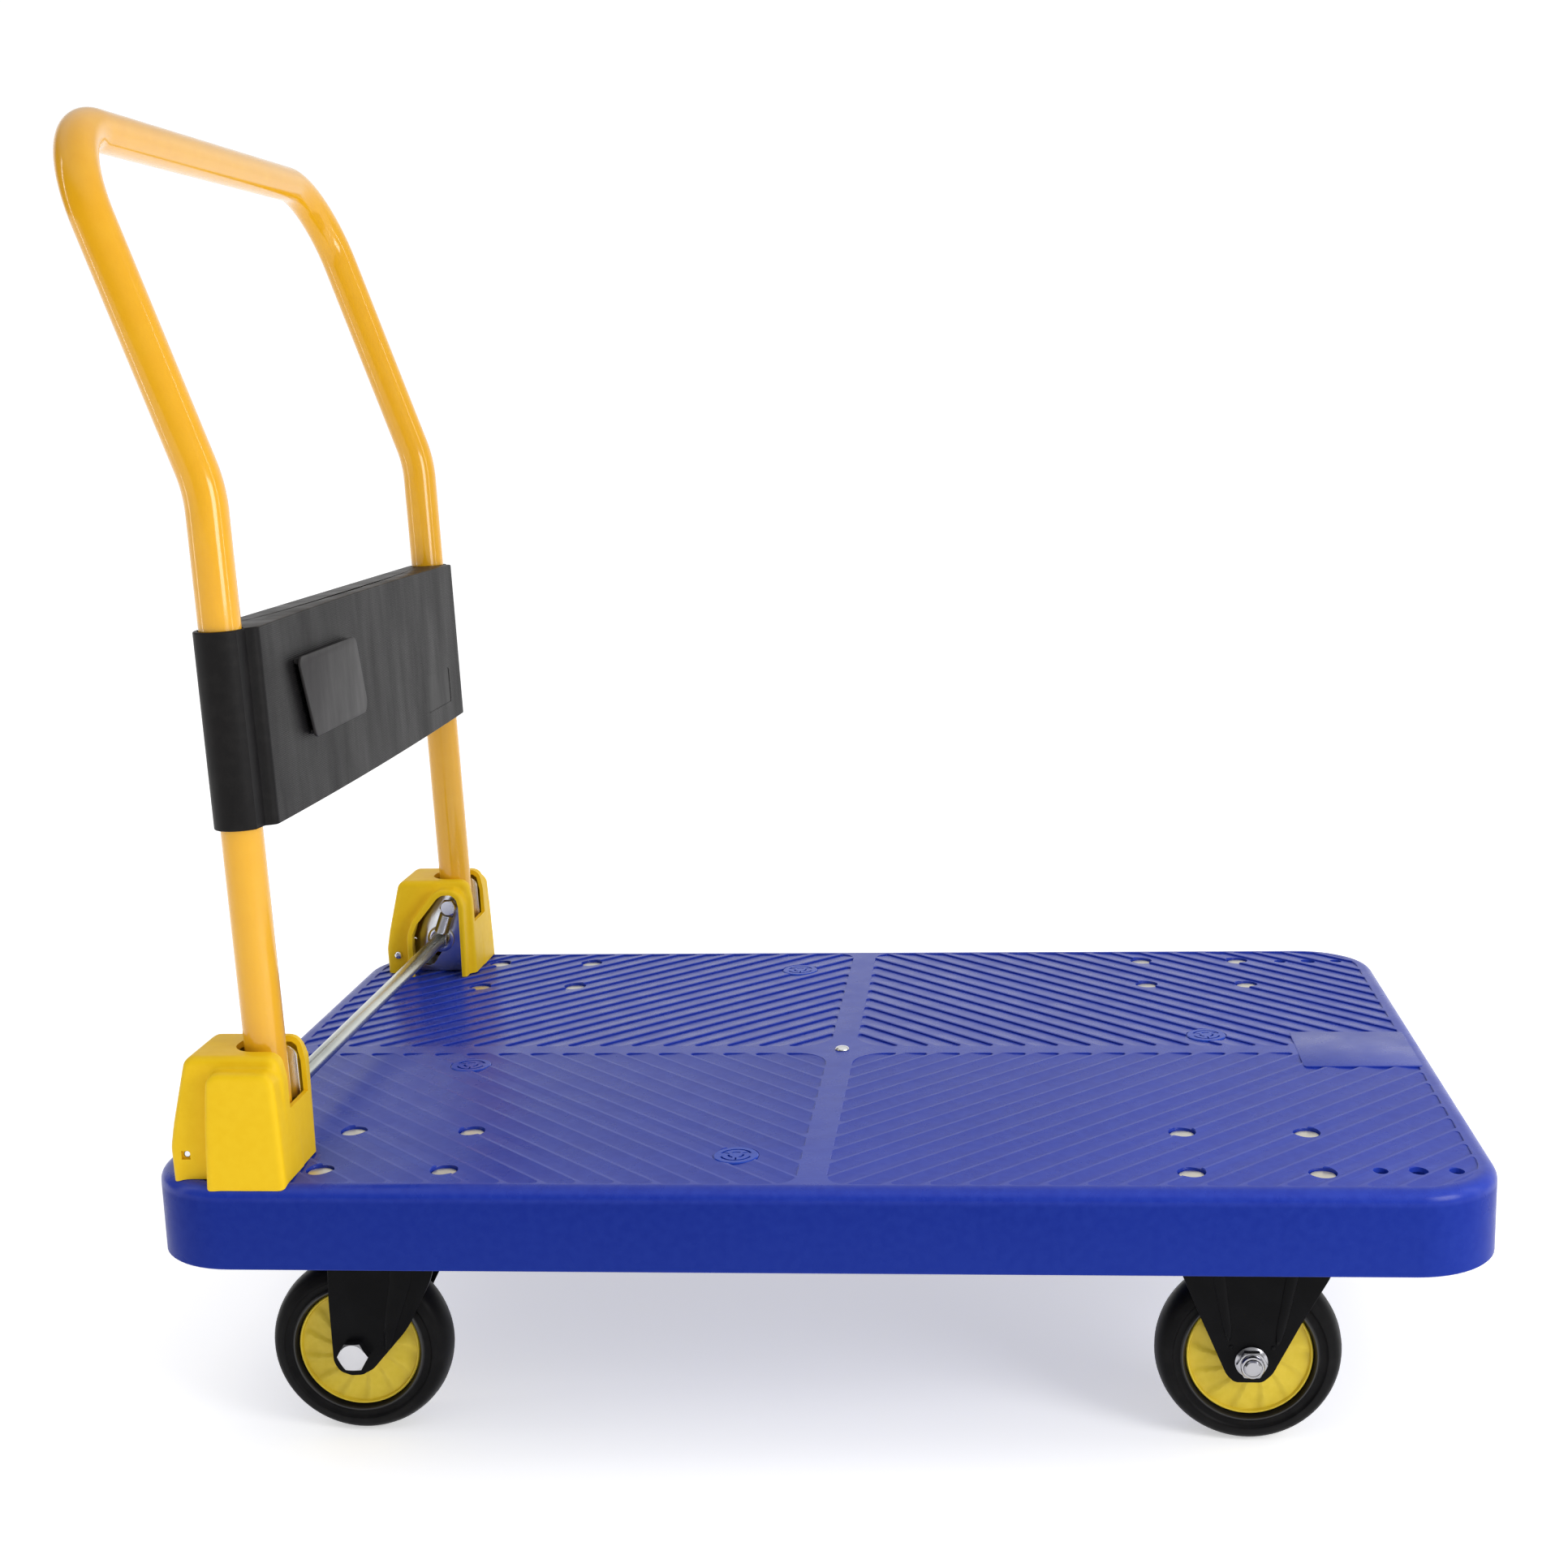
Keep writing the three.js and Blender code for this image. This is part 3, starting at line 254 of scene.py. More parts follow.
def swept(points, radius, sides, inner=0.0):
    """A round bar along a list of points; inner > 0 makes it a tube."""
    bm = bmesh.new()
    points = [Vector(p) for p in points]
    last = len(points) - 1
    tangents = [(points[min(last, i + 1)] - points[max(0, i - 1)]).normalized() for i in range(last + 1)]
    normal = tangents[0].orthogonal().normalized()
    rings = []
    inner_rings = []
    for i, (p, t) in enumerate(zip(points, tangents)):
        if i:
            normal = (tangents[i - 1].rotation_difference(t) @ normal).normalized()
        side = t.cross(normal)
        angles = [FULL_TURN * k / sides for k in range(sides)]
        for store, r in ((rings, radius), (inner_rings, inner)):
            if r > 0:
                store.append([bm.verts.new(p + normal * r * math.cos(a) + side * r * math.sin(a)) for a in angles])
    bridge(bm, rings)
    for a, b in zip(inner_rings, inner_rings[1:]):
        for i in range(sides):
            j = (i + 1) % sides
            bm.faces.new((b[i], b[j], a[j], a[i]))
    for end in (0, -1):
        if inner > 0:
            bridge(bm, [rings[end], inner_rings[end]])
        else:
            bm.faces.new(rings[end])
    return bm


def hexagon(flats):
    r = flats / 2 / math.cos(math.pi / 6)
    return [(r * math.cos(math.pi / 3 * i), r * math.sin(math.pi / 3 * i)) for i in range(6)]


def settle(obj, body, slot, material, *nodes):
    """Gives a piece its material and its body, and hides the CAD nodes that it stands for; the slot argument is not
    used.
    """
    obj.data.materials.clear()
    obj.data.materials.append(material)
    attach(obj, body)
    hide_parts(*nodes)
    return obj


# ------------------------------------------------------------------ materials
class Nodes:
    """Short hand for building one material's node tree."""

    def __init__(self, name):
        self.material = bpy.data.materials.new(name)
        self.material.use_nodes = True
        self.tree = self.material.node_tree
        self.shader = self.tree.nodes["Principled BSDF"]
        self.coords = self.tree.nodes.new("ShaderNodeTexCoord").outputs["Object"]

    def node(self, kind, **values):
        made = self.tree.nodes.new(kind)
        for key, value in values.items():
            if key in made.inputs:
                made.inputs[key].default_value = value
            else:
                setattr(made, key, value)
        return made

    def link(self, a, b):
        self.tree.links.new(a, b)

    def noise(self, scale, detail=3.0, rough=0.5, stretch=None):
        made = self.node("ShaderNodeTexNoise", Scale=scale, Detail=detail, Roughness=rough)
        source = self.coords
        if stretch:
            mapping = self.node("ShaderNodeMapping", Scale=stretch)
            self.link(source, mapping.inputs["Vector"])
            source = mapping.outputs["Vector"]
        self.link(source, made.inputs["Vector"])
        return made.outputs["Fac"]

    def span(self, value, low, high, from_low=0.3, from_high=0.7):
        made = self.node("ShaderNodeMapRange")
        for key, part in (("From Min", from_low), ("From Max", from_high), ("To Min", low), ("To Max", high)):
            made.inputs[key].default_value = part
        self.link(value, made.inputs["Value"])
        return made.outputs["Result"]

    def mix(self, factor, a, b):
        made = self.node("ShaderNodeMix", data_type="RGBA")
        self.link(factor, made.inputs["Factor"])
        for socket, value in ((made.inputs["A"], a), (made.inputs["B"], b)):
            if isinstance(value, tuple):
                socket.default_value = (*value, 1)
            else:
                self.link(value, socket)
        return made.outputs["Result"]

    def vector(self, operation, source, value=None):
        made = self.node("ShaderNodeVectorMath", operation=operation)
        self.link(source, made.inputs[0])
        if value:
            made.inputs[1].default_value = value
        return made

    def ring(self, radius, width, outside, inside):
        """A band at one radius about the Y axis through the middle of the piece."""
        middle = self.vector("SUBTRACT", self.node("ShaderNodeTexCoord").outputs["Generated"], (0.5, 0.5, 0.5))
        flat = self.vector("MULTIPLY", middle.outputs["Vector"], (1, 0, 1))
        away = self.node("ShaderNodeMath", operation="SUBTRACT")
        self.link(self.vector("LENGTH", flat.outputs["Vector"]).outputs["Value"], away.inputs[0])
        away.inputs[1].default_value = radius
        near = self.node("ShaderNodeMath", operation="ABSOLUTE")
        self.link(away.outputs["Value"], near.inputs[0])
        return self.span(near.outputs["Value"], inside, outside, 0.0, width)

    # Pales the colour on sharp outer edges.
    def paler_sharp_edges(self, amount=0.5):
        """0 on flat surfaces, towards amount on sharp outer edges."""
        geometry = self.node("ShaderNodeNewGeometry")
        return self.span(geometry.outputs["Pointiness"], 0.0, amount, 0.505, 0.56)

    def bump(self, height, strength, distance):
        made = self.node("ShaderNodeBump", Strength=strength, Distance=distance)
        self.link(height, made.inputs["Height"])
        return made

    def finish(self, base, rough, normal, **values):
        """Links the three varying inputs, sets the rest, and returns the material."""
        self.link(base, self.shader.inputs["Base Color"])
        self.link(rough, self.shader.inputs["Roughness"])
        self.link(normal.outputs["Normal"], self.shader.inputs["Normal"])
        self.set(**values)
        return self.material

    def set(self, **values):
        for key, value in values.items():
            self.shader.inputs[key.replace("_", " ")].default_value = value


def plastic(name, colour, dark, light, rough, grain_strength=0.08, specular=0.5):
    """Moulded plastic: slow colour drift, fine grain, roughness variation, paler edges."""
    n = Nodes(name)
    drift = n.span(n.noise(7.0, 4.0), 0.0, 1.0)
    speck = n.span(n.noise(160.0, 2.0), 0.0, 1.0, 0.35, 0.65)
    base = n.mix(drift, dark, colour)
    base = n.mix(n.span(speck, 0.0, 0.35, 0.0, 1.0), base, light)
    base = n.mix(n.paler_sharp_edges(), base, light)
    fine = n.bump(n.noise(900.0, 2.0), grain_strength, 0.0003)
    broad = n.bump(n.noise(22.0, 2.0), 0.06, 0.0012)
    n.link(fine.outputs["Normal"], broad.inputs["Normal"])
    return n.finish(base, n.span(n.noise(38.0, 4.0), *rough), broad, Specular_IOR_Level=specular)


def paint(name, colour, dark, light, rough, coat, peel=0.04, specular=0.3):
    """Powder coat or enamel: orange peel, faint colour drift, thin paler edges."""
    n = Nodes(name)
    base = n.mix(n.span(n.noise(5.0, 4.0), 0.0, 1.0), dark, colour)
    base = n.mix(n.span(n.noise(70.0, 3.0), 0.0, 0.3, 0.4, 0.75), base, light)
    base = n.mix(n.paler_sharp_edges(0.35), base, light)
    normal = n.bump(n.noise(260.0, 2.0), peel, 0.0004)
    shine = n.span(n.noise(30.0, 4.0), *rough)
    return n.finish(base, shine, normal, Coat_Weight=coat, Coat_Roughness=0.06, Specular_IOR_Level=specular)


def metal(name, colour, dark, tint, rough, brushed=(1.0, 1.0, 1.0), strength=0.1):
    """Zinc plate: brushed streaks, slight yellow passivation, dull patches."""
    n = Nodes(name)
    base = n.mix(n.span(n.noise(26.0, 4.0), 0.0, 1.0), dark, colour)
    base = n.mix(n.span(n.noise(11.0, 3.0), 0.0, 0.4, 0.45, 0.75), base, tint)
    shine = n.span(n.noise(160.0, 4.0, 0.6, brushed), *rough)
    return n.finish(base, shine, n.bump(n.noise(420.0, 3.0, 0.6, brushed), strength, 0.0002), Metallic=1.0)


def rubber(name, colour, dark, light):
    """Tyre rubber with mould bloom, and a polished lip where the hub's rim rubs it."""
    n = Nodes(name)
    base = n.mix(n.span(n.noise(14.0, 5.0), 0.0, 1.0), dark, colour)
    base = n.mix(n.span(n.noise(90.0, 4.0), 0.0, 0.5, 0.5, 0.8), base, light)
    n.link(n.ring(45.6 / 127, 1.6 / 127, 0.07, 0.7), n.shader.inputs["Specular IOR Level"])
    return n.finish(base, n.span(n.noise(24.0, 4.0), 0.34, 0.52), n.bump(n.noise(500.0, 3.0), 0.1, 0.0003))


def ribbed_plastic(name, colour, dark, light):
    """Panel plastic: darker and lighter vertical bands of painted shade along the height, in place of the shading of
    faint sink marks in the face, fine grain.
    """
    n = Nodes(name)
    # Painted shade: vertical bands that darken the colour, for the shading of sink marks.
    shade_bands = n.noise(26.0, 3.0, 0.6, (1.0, 1.0, 0.02))
    base = n.mix(n.span(shade_bands, 0.0, 1.0, 0.35, 0.65), dark, colour)
    base = n.mix(n.span(n.noise(120.0, 3.0), 0.0, 0.35, 0.45, 0.7), base, light)
    base = n.mix(n.paler_sharp_edges(), base, light)
    shine = n.span(n.noise(40.0, 4.0, 0.6, (1.0, 1.0, 0.2)), 0.36, 0.5)
    return n.finish(base, shine, n.bump(n.noise(700.0, 3.0), 0.12, 0.0003), Specular_IOR_Level=0.09)


SIDE_SHINE, TOP_SHINE = 0.04, 0.27
SIDE_SHADE_LEVEL, TOP_LIGHT_LEVEL = 0.74, 1.12  # colour level of the deck's sides, darkened as painted shade, and of its top, lightened as painted light


def deck_plastic():
    """Deck plastic whose sides are duller than the top, rubbed smooth by loads; by height, the sides' colour is
    darkened as painted shade and the top's lightened as painted light.
    """
    material = plastic(
        "deck_plastic", (0.009, 0.029, 0.325), (0.0075, 0.025, 0.295), (0.022, 0.052, 0.39),
        rough=(0.24, 0.34), grain_strength=0.05, specular=0.26,
    )
    tree = material.node_tree
    shader = tree.nodes["Principled BSDF"]

    def remap(value, *ends):
        made = tree.nodes.new("ShaderNodeMapRange")
        for key, end in zip(("From Min", "From Max", "To Min", "To Max"), ends):
            made.inputs[key].default_value = end
        tree.links.new(value, made.inputs["Value"])
        return made.outputs["Result"]

    coords = next(n for n in tree.nodes if n.bl_idname == "ShaderNodeTexCoord")
    split = tree.nodes.new("ShaderNodeSeparateXYZ")
    tree.links.new(coords.outputs["Object"], split.inputs[0])
    low, high = (DECK_TOP - 11) * MM, (DECK_TOP - 3) * MM
    shine = remap(split.outputs["Z"], low, high, SIDE_SHINE, TOP_SHINE)
    tree.links.new(shine, shader.inputs["Specular IOR Level"])
    # Painted light and shade: the colour is lightened on the top and darkened on the sides, by height.
    shade = tree.nodes.new("ShaderNodeHueSaturation")
    tree.links.new(shader.inputs["Base Color"].links[0].from_socket, shade.inputs["Color"])
    tree.links.new(remap(shine, SIDE_SHINE, TOP_SHINE, SIDE_SHADE_LEVEL, TOP_LIGHT_LEVEL), shade.inputs["Value"])
    tree.links.new(shade.outputs["Color"], shader.inputs["Base Color"])
    return material


DECK_BLUE = deck_plastic()
PLUG_BLUE = plastic(
    "plug_plastic", (0.01, 0.05, 0.42), (0.008, 0.04, 0.36), (0.02, 0.07, 0.5), rough=(0.2, 0.3), specular=0.16)
COVER_YELLOW = plastic(
    "cover_plastic", (0.88, 0.555, 0.007), (0.84, 0.52, 0.005), (0.91, 0.6, 0.015),
    rough=(0.4, 0.5), grain_strength=0.1, specular=0.16)
HUB_YELLOW = plastic(
    "hub_plastic", (0.66, 0.49, 0.03), (0.58, 0.42, 0.022), (0.72, 0.55, 0.055), rough=(0.36, 0.48), specular=0.3)
TUBE_YELLOW = paint(
    "tube_paint", (0.84, 0.42, 0.009), (0.81, 0.39, 0.007), (0.87, 0.47, 0.02), rough=(0.16, 0.24), coat=0.5)
FORK_BLACK = paint(
    "fork_paint", (0.003, 0.003, 0.0034), (0.002, 0.002, 0.0024), (0.008, 0.008, 0.009),
    rough=(0.24, 0.34), coat=0.0, peel=0.06, specular=0.06)
TYRE = rubber("tyre_rubber", (0.0065, 0.0062, 0.0066), (0.0045, 0.0044, 0.0048), (0.014, 0.0135, 0.0135))
PANEL = ribbed_plastic("panel_plastic", (0.0125, 0.0115, 0.0118), (0.0095, 0.009, 0.0092), (0.02, 0.0185, 0.018))
FLAP = ribbed_plastic("flap_plastic", (0.03, 0.0275, 0.028), (0.024, 0.0225, 0.023), (0.042, 0.039, 0.038))
AXLE_STEEL = metal(
    "axle_steel", (0.6, 0.6, 0.62), (0.5, 0.5, 0.53), (0.56, 0.55, 0.5), rough=(0.14, 0.24), strength=0.02)
NUT_STEEL = metal(
    "nut_steel", (0.42, 0.42, 0.45), (0.34, 0.34, 0.37), (0.4, 0.39, 0.36), rough=(0.14, 0.24), strength=0.02)
ZINC = metal(
    "zinc_plate", (0.78, 0.79, 0.81), (0.68, 0.69, 0.72), (0.72, 0.72, 0.66), rough=(0.16, 0.26), strength=0.02)
DRAWN_BAR = metal(
    "zinc_bar", (0.66, 0.68, 0.64), (0.5, 0.53, 0.5), (0.6, 0.58, 0.44), rough=(0.2, 0.32), brushed=(1.0, 0.05, 1.0))
MOUNT_ZINC = metal("mount_plate", (0.8, 0.77, 0.68), (0.68, 0.65, 0.58), (0.74, 0.66, 0.46), rough=(0.3, 0.45))


# ------------------------------------------------------------------ deck
TREAD_PITCH = 25.5
TREAD_FIRST = 54.0
TREAD_DEPTH = 1.3
TREAD_SLOPE = 21.5  # width of one sunk band, measured along X or Y
TREAD_FLARE = 0.6  # slope round each pocket's rim
FIELD_X0, FIELD_Y0 = 10.2, 9.0
FIELD_X1, FIELD_Y1 = 437.0, 289.0
RIB_X = (-358.4, -268.8, -179.2, -89.6, 0, 89.6, 179.2, 268.8, 358.4)
RIB_Y = (-212.9, -127.7, -42.57, 42.57, 127.7, 212.9)
HALF_RIB = 1.5
QUARTERS = ((1, 1), (-1, 1), (-1, -1), (1, -1))


def deck_ring(bm, inset, z, steps=14):
    """One ring of the deck's rounded outline, inset from its side."""
    r = CORNER - inset
    ring = []
    for (cx, cy), start in zip(QUARTERS, (0, 90, 180, 270)):
        for i in range(steps + 1):
            a = math.radians(start + 90 * i / steps)
            x = SHIFT + cx * (HALF_LENGTH - CORNER) + r * math.cos(a)
            ring.append(bm.verts.new((x, cy * (HALF_WIDTH - CORNER) + r * math.sin(a), z)))
    return ring


def deck_shell():
    bm = bmesh.new()
    levels = [(4.0, DECK_TOP - 4.0), (4.0, DECK_LOW + 0.8), (3.2, DECK_LOW), (0.8, DECK_LOW), (0.0, DECK_LOW + 0.8)]
    fillet = 9.0
    steps = 8
    for i in range(steps + 1):
        a = math.pi / 2 * i / steps
        levels.append((fillet * (1 - math.cos(a)), DECK_TOP - fillet * (1 - math.sin(a))))
    rings = [deck_ring(bm, inset, z) for inset, z in levels]
    bridge(bm, rings)
    bm.faces.new(rings[0][::-1])
    bm.faces.new(rings[-1])
    return bm


def clip(polygon, nx, ny, limit):
    """Keeps the part of a convex polygon where nx*x + ny*y <= limit."""
    out = []
    for i, p in enumerate(polygon):
        q = polygon[(i + 1) % len(polygon)]
        dp = nx * p[0] + ny * p[1] - limit
        dq = nx * q[0] + ny * q[1] - limit
        if dp <= 0:
            out.append(p)
        if dp * dq < 0:
            t = dp / (dp - dq)
            out.append((p[0] + (q[0] - p[0]) * t, p[1] + (q[1] - p[1]) * t))
    return out


def tread_pocket(reach, inner):
    """Outline of the sunk band between |x|+|y| = inner and reach, in the first quarter's rounded field."""
    field = rounded_polygon(rectangle(FIELD_X0, FIELD_X1, FIELD_Y0, FIELD_Y1), [26, 6, 47, 16], 10)
    polygon = clip([tuple(p) for p in field], 1, 1, reach)
    polygon = clip(polygon, -1, -1, -inner)
    if len(polygon) < 3:
        return None
    xs = [p[0] for p in polygon]
    if max(xs) - min(xs) < 4:
        return None
    return rounded_polygon(polygon, 2.6, 3)


def tread_cutter():
    bm = bmesh.new()
    reach = TREAD_FIRST
    while reach < FIELD_X1 + FIELD_Y1:
        inner = max(reach - TREAD_SLOPE, 14.0)
        outline = tread_pocket(reach, inner)
        if outline:
            add_pocket(bm, outline, inner, inner + (reach - inner) * 0.45, reach)
        reach += TREAD_PITCH
    return bm


def pocket_depth(s, inner, middle, reach):
    """Depth of the sunk band: steep near its inner side, then flatter."""
    if s <= middle:
        return 0.02 + 0.62 * TREAD_DEPTH * (s - inner) / (middle - inner)
    return 0.02 + TREAD_DEPTH * (0.62 + 0.38 * (s - middle) / (reach - middle))


def add_pocket(bm, outline, inner, middle, reach):
    """Adds the pocket's cutting solid in each quarter: a floor folded along one line, walls, a flared rim."""
    rim = []
    points = [tuple(p) for p in outline]
    for i, p in enumerate(points):
        q = points[(i + 1) % len(points)]
        rim.append(p)
        dp, dq = p[0] + p[1] - middle, q[0] + q[1] - middle
        if dp * dq < 0:
            t = dp / (dp - dq)
            rim.append((p[0] + (q[0] - p[0]) * t, p[1] + (q[1] - p[1]) * t))
    flared = offset_outline(rim, -TREAD_FLARE)
    near = [i for i, p in enumerate(rim) if p[0] + p[1] <= middle + 1e-6]
    far = [i for i, p in enumerate(rim) if p[0] + p[1] >= middle - 1e-6]
    for sx, sy in QUARTERS:
        floor, wall, lip, top = [], [], [], []
        for p, q in zip(rim, flared):
            depth = pocket_depth(p[0] + p[1], inner, middle, reach)
            share = min(1.0, depth / (1.6 * TREAD_FLARE))
            q = (p[0] + (q[0] - p[0]) * share, p[1] + (q[1] - p[1]) * share)
            drop = min(TREAD_FLARE * 0.8, depth * 0.5)
            for store, (x, y), z in (
                (floor, p, DECK_TOP - depth),
                (wall, p, DECK_TOP - drop),
                (lip, q, DECK_TOP + 0.05),
                (top, q, DECK_TOP + 2.0),
            ):
                store.append(bm.verts.new((SHIFT + sx * x, sy * y, z)))
        faces = [[floor[i] for i in reversed(part)] for part in (near, far) if len(part) > 2]
        faces.append(list(top))
        for low, high in ((floor, wall), (wall, lip), (lip, top)):
            for i in range(len(rim)):
                j = (i + 1) % len(rim)
                faces.append([low[i], low[j], high[j], high[i]])
        for face in faces:
            bm.faces.new(face[::-1] if sx * sy < 0 else face)


MOUNTS = [
    (SHIFT + ex * CASTER_X + sx * BOLT_X, ey * CASTER_Y + sy * BOLT_Y)
    for ex in (-1, 1) for ey in (-1, 1) for sx in (-1, 1) for sy in (-1, 1)
]
PLUGS = [(SHIFT - 286.5, -38), (SHIFT + 286.5, 38), (SHIFT - 55, 235), (SHIFT - 55, -235)]
DRAINS = [
    (SHIFT + HALF_LENGTH - inset, side * 259.5, radius)
    for inset, radius in ((78, 5.2), (53.5, 6.5), (29, 5.2)) for side in (-1, 1)
]
PLUG_RADIUS = 15.5
FOOT_X = PIVOT_X + 2  # the two bolts of each hinge bracket
FOOT_STEP = 7.5


def deck_bosses():
    bm = bmesh.new()
    under = DECK_TOP - 2.7
    for x, y in MOUNTS:
        add_bmesh(bm, turned([(0, PAD_LOW), (11.4, PAD_LOW), (13, under), (0, under)], 28), (x, y, 0))
    for x, y in PLUGS:
        add_bmesh(bm, rod(18.5, DECK_TOP - 9, under, 36), (x, y, 0))
    add_bmesh(bm, rod(7, DECK_TOP - 15, under, 20), (SHIFT, 0, 0))
    for y in (-POST_Y, POST_Y):
        add_bmesh(bm, box(FOOT_X - 9, FOOT_X + 9, y - 20, y + 20, PAD_LOW, under))
    return bm


def deck_holes():
    bm = bmesh.new()
    for x, y in MOUNTS:
        seat = DECK_TOP - 5.8
        profile = [(0, PAD_LOW - 5), (4.3, PAD_LOW - 5), (4.3, seat), (9.3, seat)]
        profile += lifted(DECK_TOP, [(9.5, -0.7), (10.6, 0.4), (10.6, 3), (0, 3)])
        add_bmesh(bm, turned(profile, 32), (x, y, 0))
    for x, y in PLUGS:
        r = PLUG_RADIUS + 0.35
        profile = lifted(DECK_TOP, [(0, -6), (r, -6), (r, -0.6), (r + 0.9, 0.3), (r + 0.9, 3), (0, 3)])
        add_bmesh(bm, turned(profile, 48), (x, y, 0))
    for x, y, r in DRAINS:
        profile = [(0, -12), (r - 0.4, -12), (r - 0.2, -0.8), (r + 0.9, 0.3), (r + 0.9, 3), (0, 3)]
        add_bmesh(bm, turned(lifted(DECK_TOP, profile), 28), (x, y, 0))
    add_bmesh(bm, rod(3.3, DECK_TOP - 12, DECK_TOP + 3, 20), (SHIFT, 0, 0))
    for side in (-1, 1):
        for step in (-FOOT_STEP, FOOT_STEP):
            add_bmesh(bm, rod(3.3, PAD_LOW - 5, DECK_TOP + 3, 16), (FOOT_X, side * POST_Y + step, 0))
    return bm


def build_deck():
    deck = finish_mesh("deck_moulding", deck_shell(), 30)
    ribs = bmesh.new()
    for x in RIB_X:
        add_bmesh(ribs, box(SHIFT + x - HALF_RIB, SHIFT + x + HALF_RIB, -297, 297, PAD_LOW, DECK_TOP - 2.5))
    weld(deck, ribs)
    ribs = bmesh.new()
    for y in RIB_Y:
        add_bmesh(ribs, box(SHIFT - 447, SHIFT + 447, y - HALF_RIB, y + HALF_RIB, PAD_LOW + 0.01, DECK_TOP - 2.6))
    weld(deck, ribs)
    weld(deck, deck_bosses())
    cut(deck, tread_cutter())
    patch = rounded_polygon(rectangle(SHIFT + 352, SHIFT + 440, -44, 44), 3, 4)
    weld(deck, extruded(patch, DECK_TOP - 3, DECK_TOP + 0.25, "xy", 0.2, 2))
    cut(deck, deck_holes(), 25)
    settle(deck, "chassis", "deck_plastic", DECK_BLUE, "deck")


def build_plugs():
    """Cap plugs: a ring and a centre disc raised by grooves, with three bridges across the groove."""
    r = PLUG_RADIUS
    profile = lifted(DECK_TOP, [(0, -5.7), (r, -5.7), (r, -0.7), (r - 0.7, -0.1), (0, -0.1)])
    arcs = [(9.6, 11.2, span) for span in ((20, 165), (200, 345))]
    arcs += [(4.2, 5.8, span) for span in ((60, 130), (180, 250), (300, 370))]
    for i, (x, y) in enumerate(PLUGS):
        disc = finish_mesh(f"plug_{i + 1}", turned(profile, 48, centre=(x, y, 0)))
        cutter = bmesh.new()
        for r0, r1, (a0, a1) in arcs:
            angles = [math.radians(a0 + (a1 - a0) * k / 14) for k in range(15)]
            ring = [(x + r1 * math.cos(a), y + r1 * math.sin(a)) for a in angles]
            ring += [(x + r0 * math.cos(a), y + r0 * math.sin(a)) for a in reversed(angles)]
            add_bmesh(cutter, extruded(ring, DECK_TOP - 1.2, DECK_TOP + 1, "xy"))
        for a in (35, 155, 275):
            c, s = math.cos(math.radians(a)), math.sin(math.radians(a))
            ring = [(x + c * u - s * v, y + s * u + c * v) for u, v in rectangle(5.2, 10.2, -0.55, 0.55)]
            cut(disc, extruded(ring, DECK_TOP - 1.15, DECK_TOP + 1.1, "xy"))
        cut(disc, cutter)
        settle(disc, "chassis", "deck_plastic", PLUG_BLUE, f"deck_plug_{i + 1}")
    stud = lifted(DECK_TOP, [
        (0, -11.7), (3, -11.7), (3, 0.3), (5.6, 0.3), (5.5, 0.9), (4.6, 1.9), (3.1, 2.5), (1.4, 2.7), (0, 2.7)])
    stud = finish_mesh("centre_rivet", turned(stud, 32, centre=(SHIFT, 0, 0)), 50)
    settle(stud, "chassis", "zinc_steel", ZINC, "centre_stud")


def build_mount_bolts():
    """Each caster's four bolts and nuts, joined by a frame of strip under the deck."""
    head_top = DECK_TOP - 2.5
    plate_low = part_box("swivel_plate_rear_left")[0].z / MM
    strip = plate_low + 4.3
    head = [(0, -3), (8.5, -3), (8.7, -2.4), (8.7, -0.7), (8.2, -0.15), (6.5, 0), (0, 0)]
    shank = lifted(plate_low, [(0, -7.3), (3.4, -7.3), (3.98, -6.6)]) + lifted(head_top, [(3.98, -2), (0, -2)])
    for end, ex in (("rear", -1), ("front", 1)):
        for side, ey in (("left", 1), ("right", -1)):
            cx, cy = SHIFT + ex * CASTER_X, ey * CASTER_Y
            bm = bmesh.new()
            for sx in (-1, 1):
                for sy in (-1, 1):
                    x, y = cx + sx * BOLT_X, cy + sy * BOLT_Y
                    add_bmesh(bm, turned(lifted(head_top, head), 36), (x, y, 0))
                    add_bmesh(bm, turned(shank, 20), (x, y, 0))
                    nut = [(x + u, y + v) for u, v in hexagon(12.6)]
                    add_bmesh(bm, extruded(nut, plate_low - 5.3, plate_low - 0.3, "xy", 0.6, 2))
            outer = rounded_polygon(rectangle(cx - 52.5, cx + 52.5, cy - 48.5, cy + 48.5), 5, 5)
            backing = finish_mesh("backing", extruded(outer, strip, strip + 2, "xy"))
            cut(backing, box(cx - 32.5, cx + 32.5, cy - 28.5, cy + 28.5, strip - 1, strip + 3))
            piece = finish_mesh(f"deck_bolts_{end}_{side}", bm, 40)
            boolean(piece, backing, "UNION", 40)
            settle(piece, "chassis", "mount_steel", MOUNT_ZINC, f"caster_bolts_{end}_{side}")


# ------------------------------------------------------------------ wheels
WHEEL_RADIUS = 63.5
FAN_BLADES = 13
FAN_START, FAN_RUN = 16.8, 23.8  # radius where the hub's pleats begin, and how far they run


def tyre_profile():
    half = [
        (43.2, 12.0), (43.5, 13.6), (44.1, 15.6), (45.0, 16.9), (45.8, 16.9), (46.6, 16.1),
        (47.6, 15.3), (50.4, 15.1), (51.6, 15.6), (52.5, 16.7), (53.2, 16.7), (54.6, 16.0),
        (57.0, 15.3), (59.2, 13.9), (61.0, 11.4), (62.3, 8.2), (63.1, 4.4),
    ]
    side = [(r, -y) for r, y in half]
    return side + [(WHEEL_RADIUS, 0.0)] + half[::-1] + [(43.2, 0.0)]


